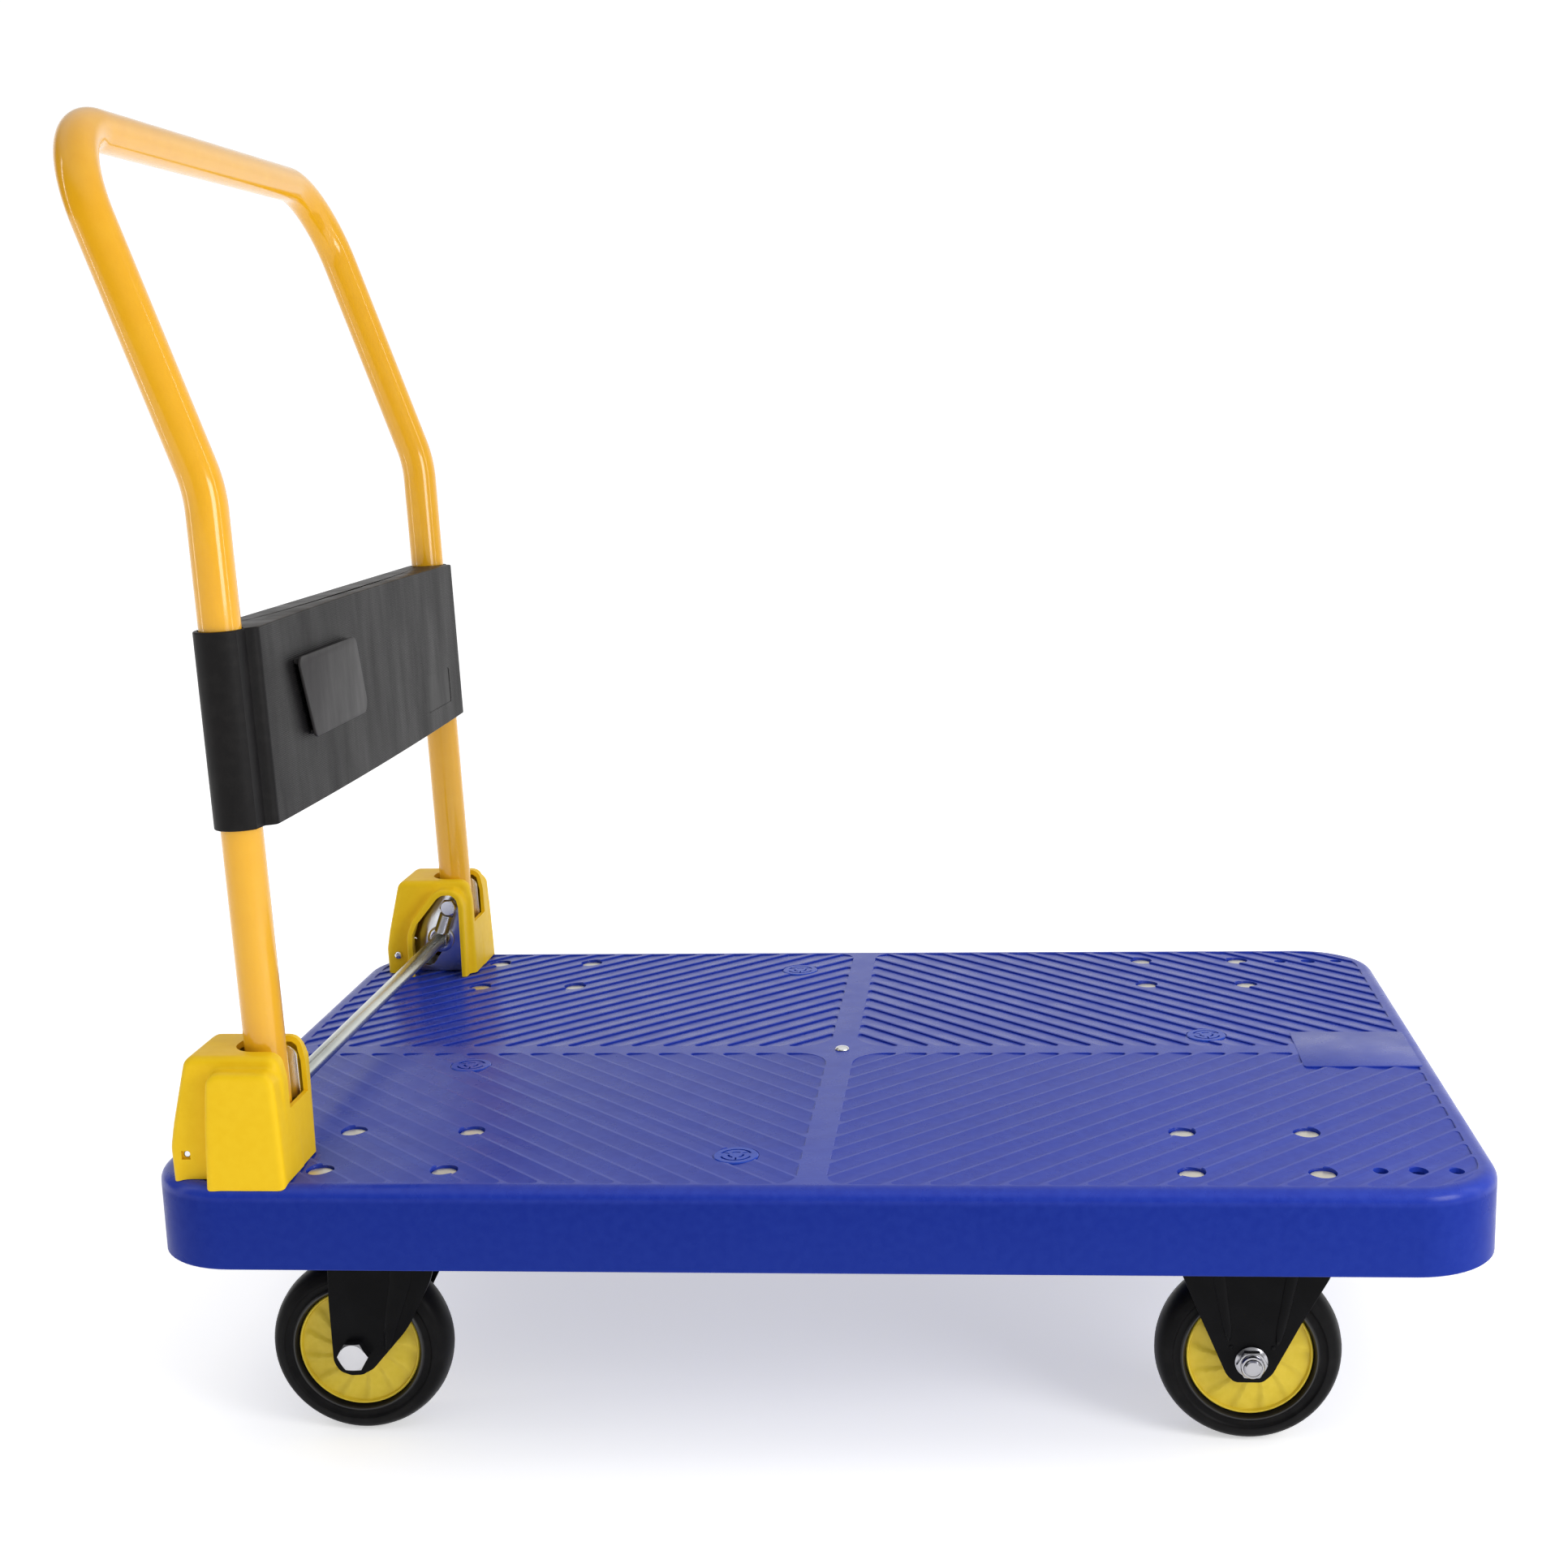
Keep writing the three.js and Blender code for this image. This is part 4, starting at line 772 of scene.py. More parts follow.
def build_tyre(tag, x, y):
    bm = turned(tyre_profile(), 96, "y", True, (x, y, WHEEL_RADIUS))
    settle(finish_mesh(f"tread_ring_{tag}", bm, 40), f"wheel_{tag}", "tyre_rubber", TYRE, f"tyre_{tag}")


def fan_height(angle, u):
    """How high a pleat stands, 0 to 1; u is 0 at the boss and 1 at the rim."""
    turn = (angle / FULL_TURN * FAN_BLADES + 0.42 * (1 - u) ** 1.5) % FAN_BLADES
    share = turn - int(turn)
    return share / 0.75 if share < 0.75 else (1 - share) / 0.25


def build_hub(tag, x, y, phase):
    """Dished hub with pleated fan facets on both sides, one mesh; rows are (radius, height, share of pleat)."""
    bm = bmesh.new()
    steps = FAN_BLADES * 8
    rows = [(9.1, 19.4, 0.0), (14.2, 19.4, 0.0), (15.2, 18.6, 0.0), (16.2, 14.2, 0.0)]
    count = 10
    for i in range(count + 1):
        u = i / count
        rows.append((FAN_START + FAN_RUN * u, 12.6 - 1.6 * u, 1.0 if 0 < i < count else 0.35))
    rows += [(41.0, 12.0, 0.0), (41.4, 13.2, 0.0), (42.0, 13.4, 0.0), (42.6, 12.9, 0.0), (43.05, 11.6, 0.0)]
    rings = []
    for side in (1, -1):
        for radius, height, fan in rows[::side]:
            ring = []
            u = min(1.0, max(0.0, (radius - FAN_START) / FAN_RUN))
            for k in range(steps):
                a = FULL_TURN * k / steps
                lift = fan * 2.4 * (fan_height(side * a, u) - 0.5) * (0.35 + 0.65 * u)
                b = a + phase
                point = (x + radius * math.cos(b), y + side * (height + lift), WHEEL_RADIUS + radius * math.sin(b))
                ring.append(bm.verts.new(point))
            rings.append(ring)
    bridge(bm, rings, True)
    settle(finish_mesh(f"fan_hub_{tag}", bm, 24), f"wheel_{tag}", "hub_plastic", HUB_YELLOW, f"hub_{tag}")


def hex_head(flats, depth):
    """Hexagon prism along +Y from 0 to depth, with a turned chamfer on its outer end."""
    prism = finish_mesh("hex", extruded(hexagon(flats), 0, depth))
    r = flats / 2 / math.cos(math.pi / 6)
    cone = [(0, -1), (r + 1, -1), (r + 1, depth - 1.55), (flats / 2 - 0.35, depth), (0, depth)]
    return boolean(prism, finish_mesh("cone", turned(cone, 48, "y")), "INTERSECT", 20)


def join_into(target, source):
    """Adds source's mesh to target's, and removes source."""
    bm = bmesh.new()
    bm.from_mesh(target.data)
    extra = bmesh.new()
    extra.from_mesh(source.data)
    add_bmesh(bm, extra)
    extra.free()
    bm.to_mesh(target.data)
    bm.free()
    bpy.data.objects.remove(source)
    smooth(target.data, 28)
    return target


def place(obj, x, y, z, side=1):
    """Moves a piece built along +Y about the origin; side < 0 turns it round to face -Y."""
    turn = Matrix.Rotation(math.pi, 4, "Z") if side < 0 else Matrix.Identity(4)
    obj.data.transform(Matrix.Translation((x * MM, y * MM, z * MM)) @ turn)
    return obj


def build_axle(tag, body, x, y, head_side):
    """Bolt, nut and sleeve, built about the origin with the head at +Y and then put in place."""
    seat = 23.3
    steel = AXLE_STEEL if tag.startswith("rear") else NUT_STEEL
    head = place(hex_head(19, 7.5), 0, seat, 0)
    shank = lifted(-seat, [(0, -12), (4.9, -12), (5.98, -10.9)]) + [(5.98, seat + 0.5), (0, seat + 0.5)]
    bolt = join_into(head, finish_mesh("shank", turned(shank, 40, "y"), 30))
    bolt.name = f"axle_screw_{tag}"
    place(bolt, x, y, WHEEL_RADIUS, head_side)
    settle(bolt, body, "zinc_steel", steel, f"axle_bolt_{tag}")
    nut = finish_mesh(f"lock_nut_{tag}", extruded(hexagon(18), -seat - 6.6, -seat - 1.9))
    cone = lifted(-seat, [(0, -6.6), (8.6, -6.6), (12, -5.2), (12, seat), (0, seat)])
    boolean(nut, finish_mesh("cone", turned(cone, 48, "y")), "INTERSECT", 20)
    for collar in (
        [(0, -6.0), (8.1, -6.0), (8.1, -9.0), (7.5, -10), (0, -10)],
        [(0, 0), (11, 0), (11, -1.1), (9.2, -2.1), (0, -2.1)],
    ):
        weld(nut, turned(lifted(-seat, collar), 48, "y"))
    cut(nut, rod(6.3, -seat - 14, 0, 40, "y"), 25)
    place(nut, x, y, WHEEL_RADIUS, head_side)
    settle(nut, body, "zinc_steel", steel, f"axle_nut_{tag}")
    sleeve = [(6.25, -19.6), (8.5, -19.6), (8.7, -19.3), (8.7, 19.3), (8.5, 19.6), (6.25, 19.6)]
    sleeve = turned(sleeve, 40, "y", True, (x, y, WHEEL_RADIUS))
    settle(finish_mesh(f"bearing_sleeve_{tag}", sleeve, 30), body, "zinc_steel", ZINC, f"axle_sleeve_{tag}")


# ------------------------------------------------------------------ forks
CROWN_LOW, CROWN_TOP = 136.9, 140.4
PLATE_LOW, PLATE_TOP = 153.7, 157.7
CHEEK_IN, CHEEK_OUT = 20, 23
KINGPIN_BORE = 6.3


def plate_shape(cx, cy):
    outline = rounded_polygon(rectangle(cx - 55, cx + 55, cy - 50, cy + 50), 8, 6)
    plate = finish_mesh("plate", extruded(outline, PLATE_LOW, PLATE_TOP, "xy", 0.6, 2))
    holes = bmesh.new()
    for sx in (-1, 1):
        for sy in (-1, 1):
            hole = rod(4.4, PLATE_LOW - 2, PLATE_TOP + 2, 24)
            add_bmesh(holes, hole, (cx + sx * BOLT_X, cy + sy * BOLT_Y, 0))
    return cut(plate, holes)


def ridge(points, y0, side, height):
    """A pressed rib on a cheek: (x, z, half width) stations, swelling out of the plate."""
    bm = bmesh.new()
    rings = []
    arc = 8
    for i, (x, z, half) in enumerate(points):
        rise = height if 0 < i < len(points) - 1 or half > 3 else 0.05
        angles = [math.pi * k / arc for k in range(arc + 1)]
        ring = [bm.verts.new((x + half * math.cos(a), y0 + side * (rise * math.sin(a)), z)) for a in angles]
        rings.append(ring + [bm.verts.new((x + back, y0 - side * 1.0, z)) for back in (-half, half)])
    bridge(bm, rings)
    bm.faces.new(rings[0][::-1])
    bm.faces.new(rings[-1])
    return bm


def add_cheek(fork, cx, cy, side, outline, ridges, height):
    """Welds one cheek and its pressed ribs to a fork; the ribs' stations are given from cx."""
    y0, y1 = sorted((cy + side * CHEEK_IN, cy + side * CHEEK_OUT))
    weld(fork, extruded(outline, y0, y1, "xz", 0.7, 3))
    for stations in ridges:
        stations = [(cx + x, z, half) for x, z, half in stations]
        weld(fork, ridge(stations, cy + side * (CHEEK_OUT - 0.4), side, height))


def axle_bore(x, y):
    return rod(6.4, -40, 40, 40, "y", (x, y, WHEEL_RADIUS))


def build_swivel_fork(side_name, cx, cy):
    r = WHEEL_RADIUS
    t = -33.0  # how far the axle trails the kingpin
    tag = f"rear_{side_name}"
    outline = rounded_polygon(
        [(cx + u, v) for u, v in (
            (-48, CROWN_TOP), (-49.5, r + 38), (t - 16, r - 7), (t - 12, r - 14), (t - 4, r - 17),
            (t + 4, r - 16.5), (t + 12, r - 12), (5, r + 18), (23, r + 53), (30, CROWN_TOP),
        )],
        [3, 30, 12, 8, 8, 8, 10, 60, 40, 3], 5)
    crown = [(-48, -23), (14, -23), (30, -15), (33, 0), (30, 15), (14, 23), (-48, 23)]
    crown = rounded_polygon([(cx + u, cy + v) for u, v in crown], [4, 14, 8, 20, 8, 14, 4], 5)
    fork = finish_mesh(f"swivel_fork_{side_name}", extruded(crown, CROWN_LOW, CROWN_TOP, "xy", 0.8, 2))
    stations = [
        (4, CROWN_TOP - 3, 9), (2, r + 52, 8), (-3, r + 34, 6.5),
        (-7, r + 18, 4.6), (-9.5, r + 6, 2.6), (-10.5, r + 1, 0.8),
    ]
    for side in (-1, 1):
        add_cheek(fork, cx, cy, side, outline, [stations], 2.0)
    cut(fork, rod(KINGPIN_BORE, 120, 150, 32, "z", (cx, cy, 0)))
    cut(fork, axle_bore(cx + t, cy), 22)
    settle(fork, f"swivel_{side_name}", "fork_paint", FORK_BLACK, f"fork_{tag}")
    build_axle(tag, f"swivel_{side_name}", cx + t, cy, math.copysign(1, cy))
    build_tyre(tag, cx + t, cy)
    build_hub(tag, cx + t, cy, math.radians(-90 if cy < 0 else 90))
    plate = plate_shape(cx, cy)
    plate.name = f"top_plate_{side_name}"
    cut(plate, rod(KINGPIN_BORE, 150, 160, 32, "z", (cx, cy, 0)), 25)
    settle(plate, "chassis", "fork_paint", FORK_BLACK, f"swivel_plate_{tag}")
    race = [
        (6.35, 140.7), (24.5, 140.7), (27.5, 142.0), (29.6, 145.4), (29.9, 147.5),
        (29.9, 151.0), (29.2, 152.8), (28.0, 153.4), (6.35, 153.4),
    ]
    race = finish_mesh(f"race_{side_name}", turned(race, 64, "z", True, (cx, cy, 0)), 35)
    settle(race, "chassis", "zinc_steel", ZINC, f"ball_race_{tag}")
    pin = lifted(CROWN_LOW - 0.3, [(0, -6.5), (7.4, -6.5), (9.3, -5.4), (9.9, -4.0), (9.9, 0), (5.95, 0)])
    pin += lifted(PLATE_TOP + 0.3, [(5.95, 0), (8.8, 0), (8.6, 0.8), (7.4, 1.6), (0, 1.6)])
    pin = finish_mesh(f"king_bolt_{side_name}", turned(pin, 40, "z", False, (cx, cy, 0)), 35)
    settle(pin, "chassis", "zinc_steel", ZINC, f"kingpin_{tag}")


def build_rigid_fork(side_name, cx, cy):
    r = WHEEL_RADIUS
    top = PLATE_LOW + 1
    outline = rounded_polygon(
        [(cx + u, v) for u, v in (
            (-50, top), (-48, top - 26), (-34, r + 31), (-16.5, r - 10), (-11, r - 15.5),
            (8, r - 15.5), (14.5, r - 9.5), (33, r + 27), (52, r + 61), (54, top),
        )],
        [2, 14, 40, 14, 7, 7, 14, 40, 14, 2], 5)
    left = [
        (-25, top - 2, 4.5), (-22, r + 60, 4.2), (-19, r + 40, 3.6),
        (-16.5, r + 26, 3.2), (-15.5, r + 18, 2.2), (-15.2, r + 14, 0.8),
    ]
    right = [
        (29, top - 2, 4.5), (26, r + 60, 4.2), (22.5, r + 40, 3.6),
        (19.5, r + 24, 3.2), (18, r + 15, 2.2), (17.4, r + 11, 0.8),
    ]
    rad = 1.8
    fork = plate_shape(cx, cy)
    fork.name = f"rigid_fork_{side_name}"
    for side in (-1, 1):
        add_cheek(fork, cx, cy, side, outline, [left, right], 2.2)
        for dx, z in ((-13.5, r + 10.5), (14.5, r + 10)):
            bump = turned([(0, 0), (rad, 0), (rad * 0.8, 0.5), (rad * 0.45, 0.8), (0, 0.9)], 20, "y")
            for v in bump.verts:
                v.co = Vector((cx + dx + v.co.x, cy + side * (22.9 + v.co.y), z + v.co.z))
            weld(fork, bump)
    cut(fork, axle_bore(cx, cy), 22)
    tag = f"front_{side_name}"
    settle(fork, "chassis", "fork_paint", FORK_BLACK, f"fork_{tag}")
    build_axle(tag, "chassis", cx, cy, -math.copysign(1, cy))
    build_tyre(tag, cx, cy)
    build_hub(tag, cx, cy, math.radians(-82 if cy < 0 else 90))


# ------------------------------------------------------------------ hinges
COVER_MID = POST_Y + 2
COVER_HALF = 29  # half width of the cover's body
PAD_HALF = 42  # how far its pad and rim stand out on either side
BRACKET_IN, BRACKET_OUT = POST_Y - 18, POST_Y + 18
SCREW_X, SCREW_Z = PIVOT_X - 49.5, PIVOT_Z - 45
BAR_X, BAR_Z = PIVOT_X - 12, PIVOT_Z - 32
PIVOT = (PIVOT_X, 0, PIVOT_Z)
SPRING_Y = BRACKET_IN - 9
WIRE = 0.75


def mirror_y(obj):
    obj.data.transform(Matrix.Scale(-1, 4, (0, 1, 0)))
    obj.data.flip_normals()
    return obj


def hinge_pieces(name, make):
    """Builds a hinge piece at +Y and its mirror image at -Y."""
    for side in ("left", "right"):
        piece = make()
        piece.name = f"{name}_{side}"
        if side == "right":
            mirror_y(piece)
        yield side, piece


def shift_outline(points):
    return [(PIVOT_X + x, PIVOT_Z + z) for x, z in points]


def soften(obj, voxel, repeats):
    """Rounds every edge of a solid, as a moulding has them, by remeshing and smoothing it."""
    remesh = obj.modifiers.new("remesh", "REMESH")
    remesh.mode = "VOXEL"
    remesh.voxel_size = voxel * MM
    relax = obj.modifiers.new("smooth", "SMOOTH")
    relax.factor = 0.6
    relax.iterations = repeats
    return apply_modifiers(obj, 50)


def cover_body():
    """The cover's outside, and the outlines of its body, pad and rim."""
    low = -77
    body = shift_outline([
        (-59.5, low), (-60.5, -40), (-57.5, -24), (-47, 19), (-42.5, 23), (12, 23), (17, 19), (19.5, 6), (21, low)])
    pad = shift_outline([
        (-33.5, low), (-31, -25), (-28, 10), (-22.5, 15.5), (13, 15.5), (18, 9), (20, -25), (22, low)])
    rim = shift_outline([
        (-38, low), (-38, -26), (-33, -12), (-13, 13), (-6, 17.5), (6, 17.5), (12.5, 13), (15.5, 4), (15.5, low)])
    smooth_body = rounded_polygon(body, [0, 14, 20, 8, 7, 8, 7, 12, 0], 5)
    smooth_pad = rounded_polygon(pad, [0, 12, 8, 7, 7, 8, 14, 0], 5)
    smooth_rim = rounded_polygon(rim, [0, 8, 8, 10, 8, 8, 6, 6, 0], 5)
    outer = finish_mesh("outer", extruded(smooth_body, COVER_MID - COVER_HALF, COVER_MID + COVER_HALF, "xz", 4.5, 4))
    weld(outer, extruded(smooth_pad, COVER_MID, COVER_MID + PAD_HALF, "xz", 3.0, 3))
    weld(outer, extruded(smooth_rim, COVER_MID - PAD_HALF, COVER_MID, "xz", 1.6, 3))
    return soften(outer, 1.4, 5), body, pad, rim


def make_cover():
    outer, body, pad, rim = cover_body()
    wall = 3.2
    half, reach = COVER_HALF - wall, PAD_HALF - wall
    inner = finish_mesh("inner", extruded(offset_outline(body, wall), COVER_MID - half, COVER_MID + half))
    weld(inner, extruded(offset_outline(pad, wall), COVER_MID, COVER_MID + reach))
    weld(inner, extruded(offset_outline(rim, wall), COVER_MID - reach, COVER_MID))
    inner.data.transform(Matrix.Translation((0, 0, -1.2 * MM)))
    boolean(outer, inner)
    # Slot for the post: round behind the post, open to the front.
    slot = rectangle(PIVOT_X - 19, PIVOT_X + 40, POST_Y - 18.5, POST_Y + 18.5)
    cut(outer, extruded(rounded_polygon(slot, [17, 0, 0, 17], 10), PIVOT_Z - 16.2, PIVOT_Z + 60, "xy"))
    window = shift_outline([
        (-32.5, -110), (-32.5, -24), (-28, -14), (-8, 10), (-3, 13), (5, 13), (9.5, 9), (11, 2), (11, -110)])
    window = rounded_polygon(window, [0, 8, 8, 8, 6, 8, 6, 6, 0], 5)
    cut(outer, extruded(window, COVER_MID - 60, COVER_MID - half + 5))
    cut(outer, rod(2.3, COVER_MID - 40, COVER_MID + 40, 24, "y", (SCREW_X, 0, SCREW_Z)))
    pocket = box(SCREW_X - 3, SCREW_X + 3, COVER_MID + 26.6, COVER_MID + 40, SCREW_Z - 3, SCREW_Z + 3)
    cut(outer, pocket)
    cut(outer, box(PIVOT_X - 90, PIVOT_X + 60, COVER_MID - 60, COVER_MID + 60, 150, DECK_TOP - 3.6))
    floor = deck_shell()
    grow = (1.0006, 1.0006, 1.0)
    bmesh.ops.scale(floor, vec=grow, verts=floor.verts, space=Matrix.Translation((-SHIFT, 0, 0)))
    for v in floor.verts:
        v.co.z = 150 if v.co.z < DECK_TOP - 30 else v.co.z + 0.3
    return cut(outer, hull_of(floor), 32)


def hull_of(bm):
    """The convex hull of a bmesh, as a new bmesh."""
    out = bmesh.new()
    for v in bm.verts:
        out.verts.new(v.co)
    bm.free()
    made = bmesh.ops.convex_hull(out, input=out.verts)
    loose = [g for g in made["geom_interior"] if isinstance(g, bmesh.types.BMVert)]
    bmesh.ops.delete(out, geom=loose, context="VERTS")
    return out


def bar_slot(reach):
    """Outline of the slanting slot that the release bar slides in."""
    run = math.hypot(12, 18)
    nx, nz = 18 / run * reach, -12 / run * reach
    slot = []
    for ex, ez, start in ((-12, -32, math.atan2(nz, nx)), (-24, -50, math.atan2(-nz, -nx))):
        for k in range(13):
            a = start + math.pi * k / 12
            slot.append((ex + reach * math.cos(a), ez + reach * math.sin(a)))
    return shift_outline(slot)


def make_bracket():
    foot = -61.7
    inner, outer = BRACKET_IN, BRACKET_OUT
    y0, y1, base = inner + 0.4, outer - 0.4, PIVOT_Z + foot
    outline = shift_outline([(-40, foot), (17, foot), (15, 12), (10, 17), (-14, 17), (-38, -40), (-40, -46)])
    outline = rounded_polygon(outline, [1, 1, 8, 8, 12, 6, 3], 5)
    bracket = finish_mesh("bracket", extruded(outline, inner, inner + 3, "xz", 0.5, 2))
    weld(bracket, extruded(outline, outer - 3, outer, "xz", 0.5, 2))
    weld(bracket, box(PIVOT_X - 39.8, PIVOT_X + 16.8, y0, y1, base + 0.01, base + 3))
    weld(bracket, box(PIVOT_X - 39.7, PIVOT_X - 37, y0, y1, base + 1, PIVOT_Z - 48))
    cut(bracket, extruded(bar_slot(6.7), inner - 2, outer + 2))
    cut(bracket, rod(4.35, inner - 2, outer + 2, 32, "y", PIVOT))
    holes = bmesh.new()
    for step in (-FOOT_STEP, FOOT_STEP):
        add_bmesh(holes, rod(3.35, 190, 215, 24), (FOOT_X, POST_Y + step, 0))
    return cut(bracket, holes, 25)


def make_foot_bolts():
    seat = DECK_TOP + 3.6
    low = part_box("bracket_bolts_left")[0].z / MM
    x, y = FOOT_X, POST_Y
    strip = rounded_polygon(rectangle(x - 8, x + 8, y - 18, y + 18), 3, 4)
    piece = finish_mesh("strip", extruded(strip, low, low + 2, "xy"))
    for step in (-FOOT_STEP, FOOT_STEP):
        head = [(x + u, y + step + v) for u, v in hexagon(10)]
        weld(piece, extruded(head, seat, seat + 4, "xy", 0.5, 2))
        weld(piece, rod(2.98, low + 0.5, seat + 1, 24, centre=(x, y + step, 0)), 30)
    return piece


def make_pivot_bolt():
    head_low = SPRING_Y - WIRE - 6.6
    head = place(hex_head(13, 5.5), PIVOT_X, head_low + 5.5, PIVOT_Z, -1)
    end = BRACKET_OUT + 8.3
    shank = [(0, head_low + 5), (3.97, head_low + 5), (3.97, end - 0.8), (3.2, end), (0, end)]
    return join_into(head, finish_mesh("shank", turned(shank, 32, "y", False, PIVOT), 30))


def make_pivot_nut():
    nut = place(hex_head(13, 6.5), PIVOT_X, BRACKET_OUT + 0.3, PIVOT_Z)
    return cut(nut, rod(4.3, 200, 330, 32, "y", PIVOT), 25)


def make_screw():
    head = COVER_MID - COVER_HALF - 0.3
    profile = lifted(head, [
        (0, -2.0), (1.4, -1.95), (2.6, -1.5), (3.3, -0.7), (3.4, 0), (1.9, 0), (1.9, 55.4), (0, 55.4)])
    screw = finish_mesh("screw", turned(profile, 32, "y", False, (SCREW_X, 0, SCREW_Z)), 50)
    for wide, tall in ((0.45, 2.0), (2.0, 0.45)):
        drive = box(SCREW_X - wide, SCREW_X + wide, head - 3, head - 0.9, SCREW_Z - tall, SCREW_Z + tall)
        cut(screw, drive, 30)
    return screw


def spring_points():
    """Wire centre line: a loop on the pivot bolt, eleven close coils, and a loop on the bar."""
    along = Vector((-12, 0, -32)).normalized()
    side = Vector((0, 1, 0))
    across = side.cross(along)
    span = math.hypot(12, 32)
    origin = Vector((PIVOT_X, SPRING_Y, PIVOT_Z))
    points = []

    def put(a, c, s):
        points.append(origin + along * a + across * c + side * s)

    radius = 5.75
    total = 11 * 20
    hook_turn = math.pi * 1.4
    top_hook = 4 + 0.35 + WIRE
    bar_hook = 6 + 0.35 + WIRE
    start, stop = top_hook + 2.6, span - bar_hook - 1.6
    for i in range(19):
        turn = math.pi - hook_turn + i / 18 * hook_turn
        put(-top_hook * math.sin(turn), top_hook * math.cos(turn), 0)
    for i in range(total + 1):
        turn = i / 20 * FULL_TURN
        grow = radius * min(1.0, 0.75 + i / 30, 0.75 + (total - i) / 30)
        put(start + (stop - start) * i / total, -grow * math.cos(turn), grow * math.sin(turn))
    for i in range(19):
        turn = i / 18 * hook_turn
        put(span + bar_hook * math.sin(turn), -bar_hook * math.cos(turn), 0)
    return points


def make_spring():
    return finish_mesh("spring", swept(spring_points(), 0.72, 10), 60)


def build_hinges():
    for name, make, slot, material, node in (
        ("cover", make_cover, "cover_plastic", COVER_YELLOW, "hinge_cover"),
        ("bracket", make_bracket, "zinc_steel", ZINC, "hinge_bracket"),
        ("foot_bolts", make_foot_bolts, "zinc_steel", ZINC, "bracket_bolts"),
        ("fold_bolt", make_pivot_bolt, "zinc_steel", ZINC, "pivot_bolt"),
        ("fold_nut", make_pivot_nut, "zinc_steel", ZINC, "pivot_nut"),
        ("small_screw", make_screw, "zinc_steel", ZINC, "cover_screw"),
    ):
        for side, piece in hinge_pieces(name, make):
            settle(piece, "chassis", slot, material, f"{node}_{side}")
    for side, piece in hinge_pieces("coil_spring", make_spring):
        piece.data.materials.append(ZINC)
        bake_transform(piece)
        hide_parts(f"release_spring_{side}")


def build_release_bar():
    centre = (BAR_X, 0, BAR_Z)
    end = BRACKET_OUT + 1.5
    tip = [(0, 0), (4.9, 0), (5.7, -0.3), (6, -1.1)]
    profile = [(r, -end - h) for r, h in tip] + lifted(end, tip[::-1])
    bar = finish_mesh("foot_bar", turned(profile, 48, "y", False, centre), 50)
    settle(bar, "release_bar", "zinc_steel", DRAWN_BAR, "release_bar")
    ring = lifted(BRACKET_IN - 0.3, [
        (6.32, -1.2), (6.6, -1.4), (11.6, -1.4), (12, -1.1), (12, -0.2), (11.8, 0), (6.32, 0)])
    for side in ("left", "right"):
        washer = finish_mesh(f"washer_{side}", turned(ring, 48, "y", True, centre), 50)
        if side == "right":
            mirror_y(washer)
        settle(washer, "release_bar", "zinc_steel", ZINC, f"bar_washer_{side}")


# ------------------------------------------------------------------ handle
LEAN = math.radians(1.5)  # the posts' lean to the back
TOP_LEAN = math.radians(18.8)  # lean above the bend
BEND_HEIGHT, BAR_HEIGHT = 392, 621  # above the pivot
PANEL_LOW, PANEL_HIGH = 172.0, 302.0
PANEL_FACE = 23.0
SLEEVE = 17.4


def bend_points(corner, before, after, radius, steps):
    angle = before.angle(after)
    trim = radius * math.tan(angle / 2)
    start = corner - before * trim
    inward = (after - before * after.dot(before)).normalized()
    centre = start + inward * radius
    return [
        centre - inward * radius * math.cos(angle * i / steps) + before * radius * math.sin(angle * i / steps)
        for i in range(steps + 1)
    ]


def build_tube():
    low = Vector((-math.sin(LEAN), 0, math.cos(LEAN)))
    high = Vector((-math.sin(TOP_LEAN), 0, math.cos(TOP_LEAN)))
    post = Vector((PIVOT_X, POST_Y, PIVOT_Z))
    bend_x = -BEND_HEIGHT * math.tan(LEAN)
    bar_x = bend_x - (BAR_HEIGHT - BEND_HEIGHT) * math.tan(TOP_LEAN)
    points = [post + low * -22, post + low * 150]
    points += bend_points(post + Vector((bend_x, 0, BEND_HEIGHT)), low, high, 100, 10)
    points += bend_points(post + Vector((bar_x, 0, BAR_HEIGHT)), high, Vector((0, -1, 0)), 65, 22)
    points += [Vector((p.x, -p.y, p.z)) for p in reversed(points)]
    tube = finish_mesh("bent_tube", swept(points, TUBE_RADIUS, 56, TUBE_BORE), 50)
    cut(tube, rod(4.25, -280, 280, 32, "y", PIVOT), 50)
    settle(tube, "handle", "tube_paint", TUBE_YELLOW, "handle_tube")


def panel_plan(rib):
    """Half plan of the panel seen from above, (x, y) about the post line; rib moves the face."""
    face = PANEL_FACE
    edge = POST_Y - 6
    columns = 30
    points = [(face - rib, (edge - 4) * i / columns) for i in range(columns + 1)]
    points += [(face - x, edge + y) for x, y in (
        (0.1, -2.4), (0.5, -0.9), (1.5, 0.4), (3.2, 1.6), (5.4, 2.6), (7.4, 3.8))]
    for k in range(27):
        a = 0.62 + (math.pi * 1.5 - 0.5 - 0.62) * k / 26
        points.append((SLEEVE * math.cos(a), POST_Y + SLEEVE * math.sin(a)))
    points += [(x, edge - y) for x, y in ((-4.6, 22), (-4.2, 32), (-0.5, 52), (3, 76), (5.2, 100), (8, 160))]
    return points + [(9, 0)]


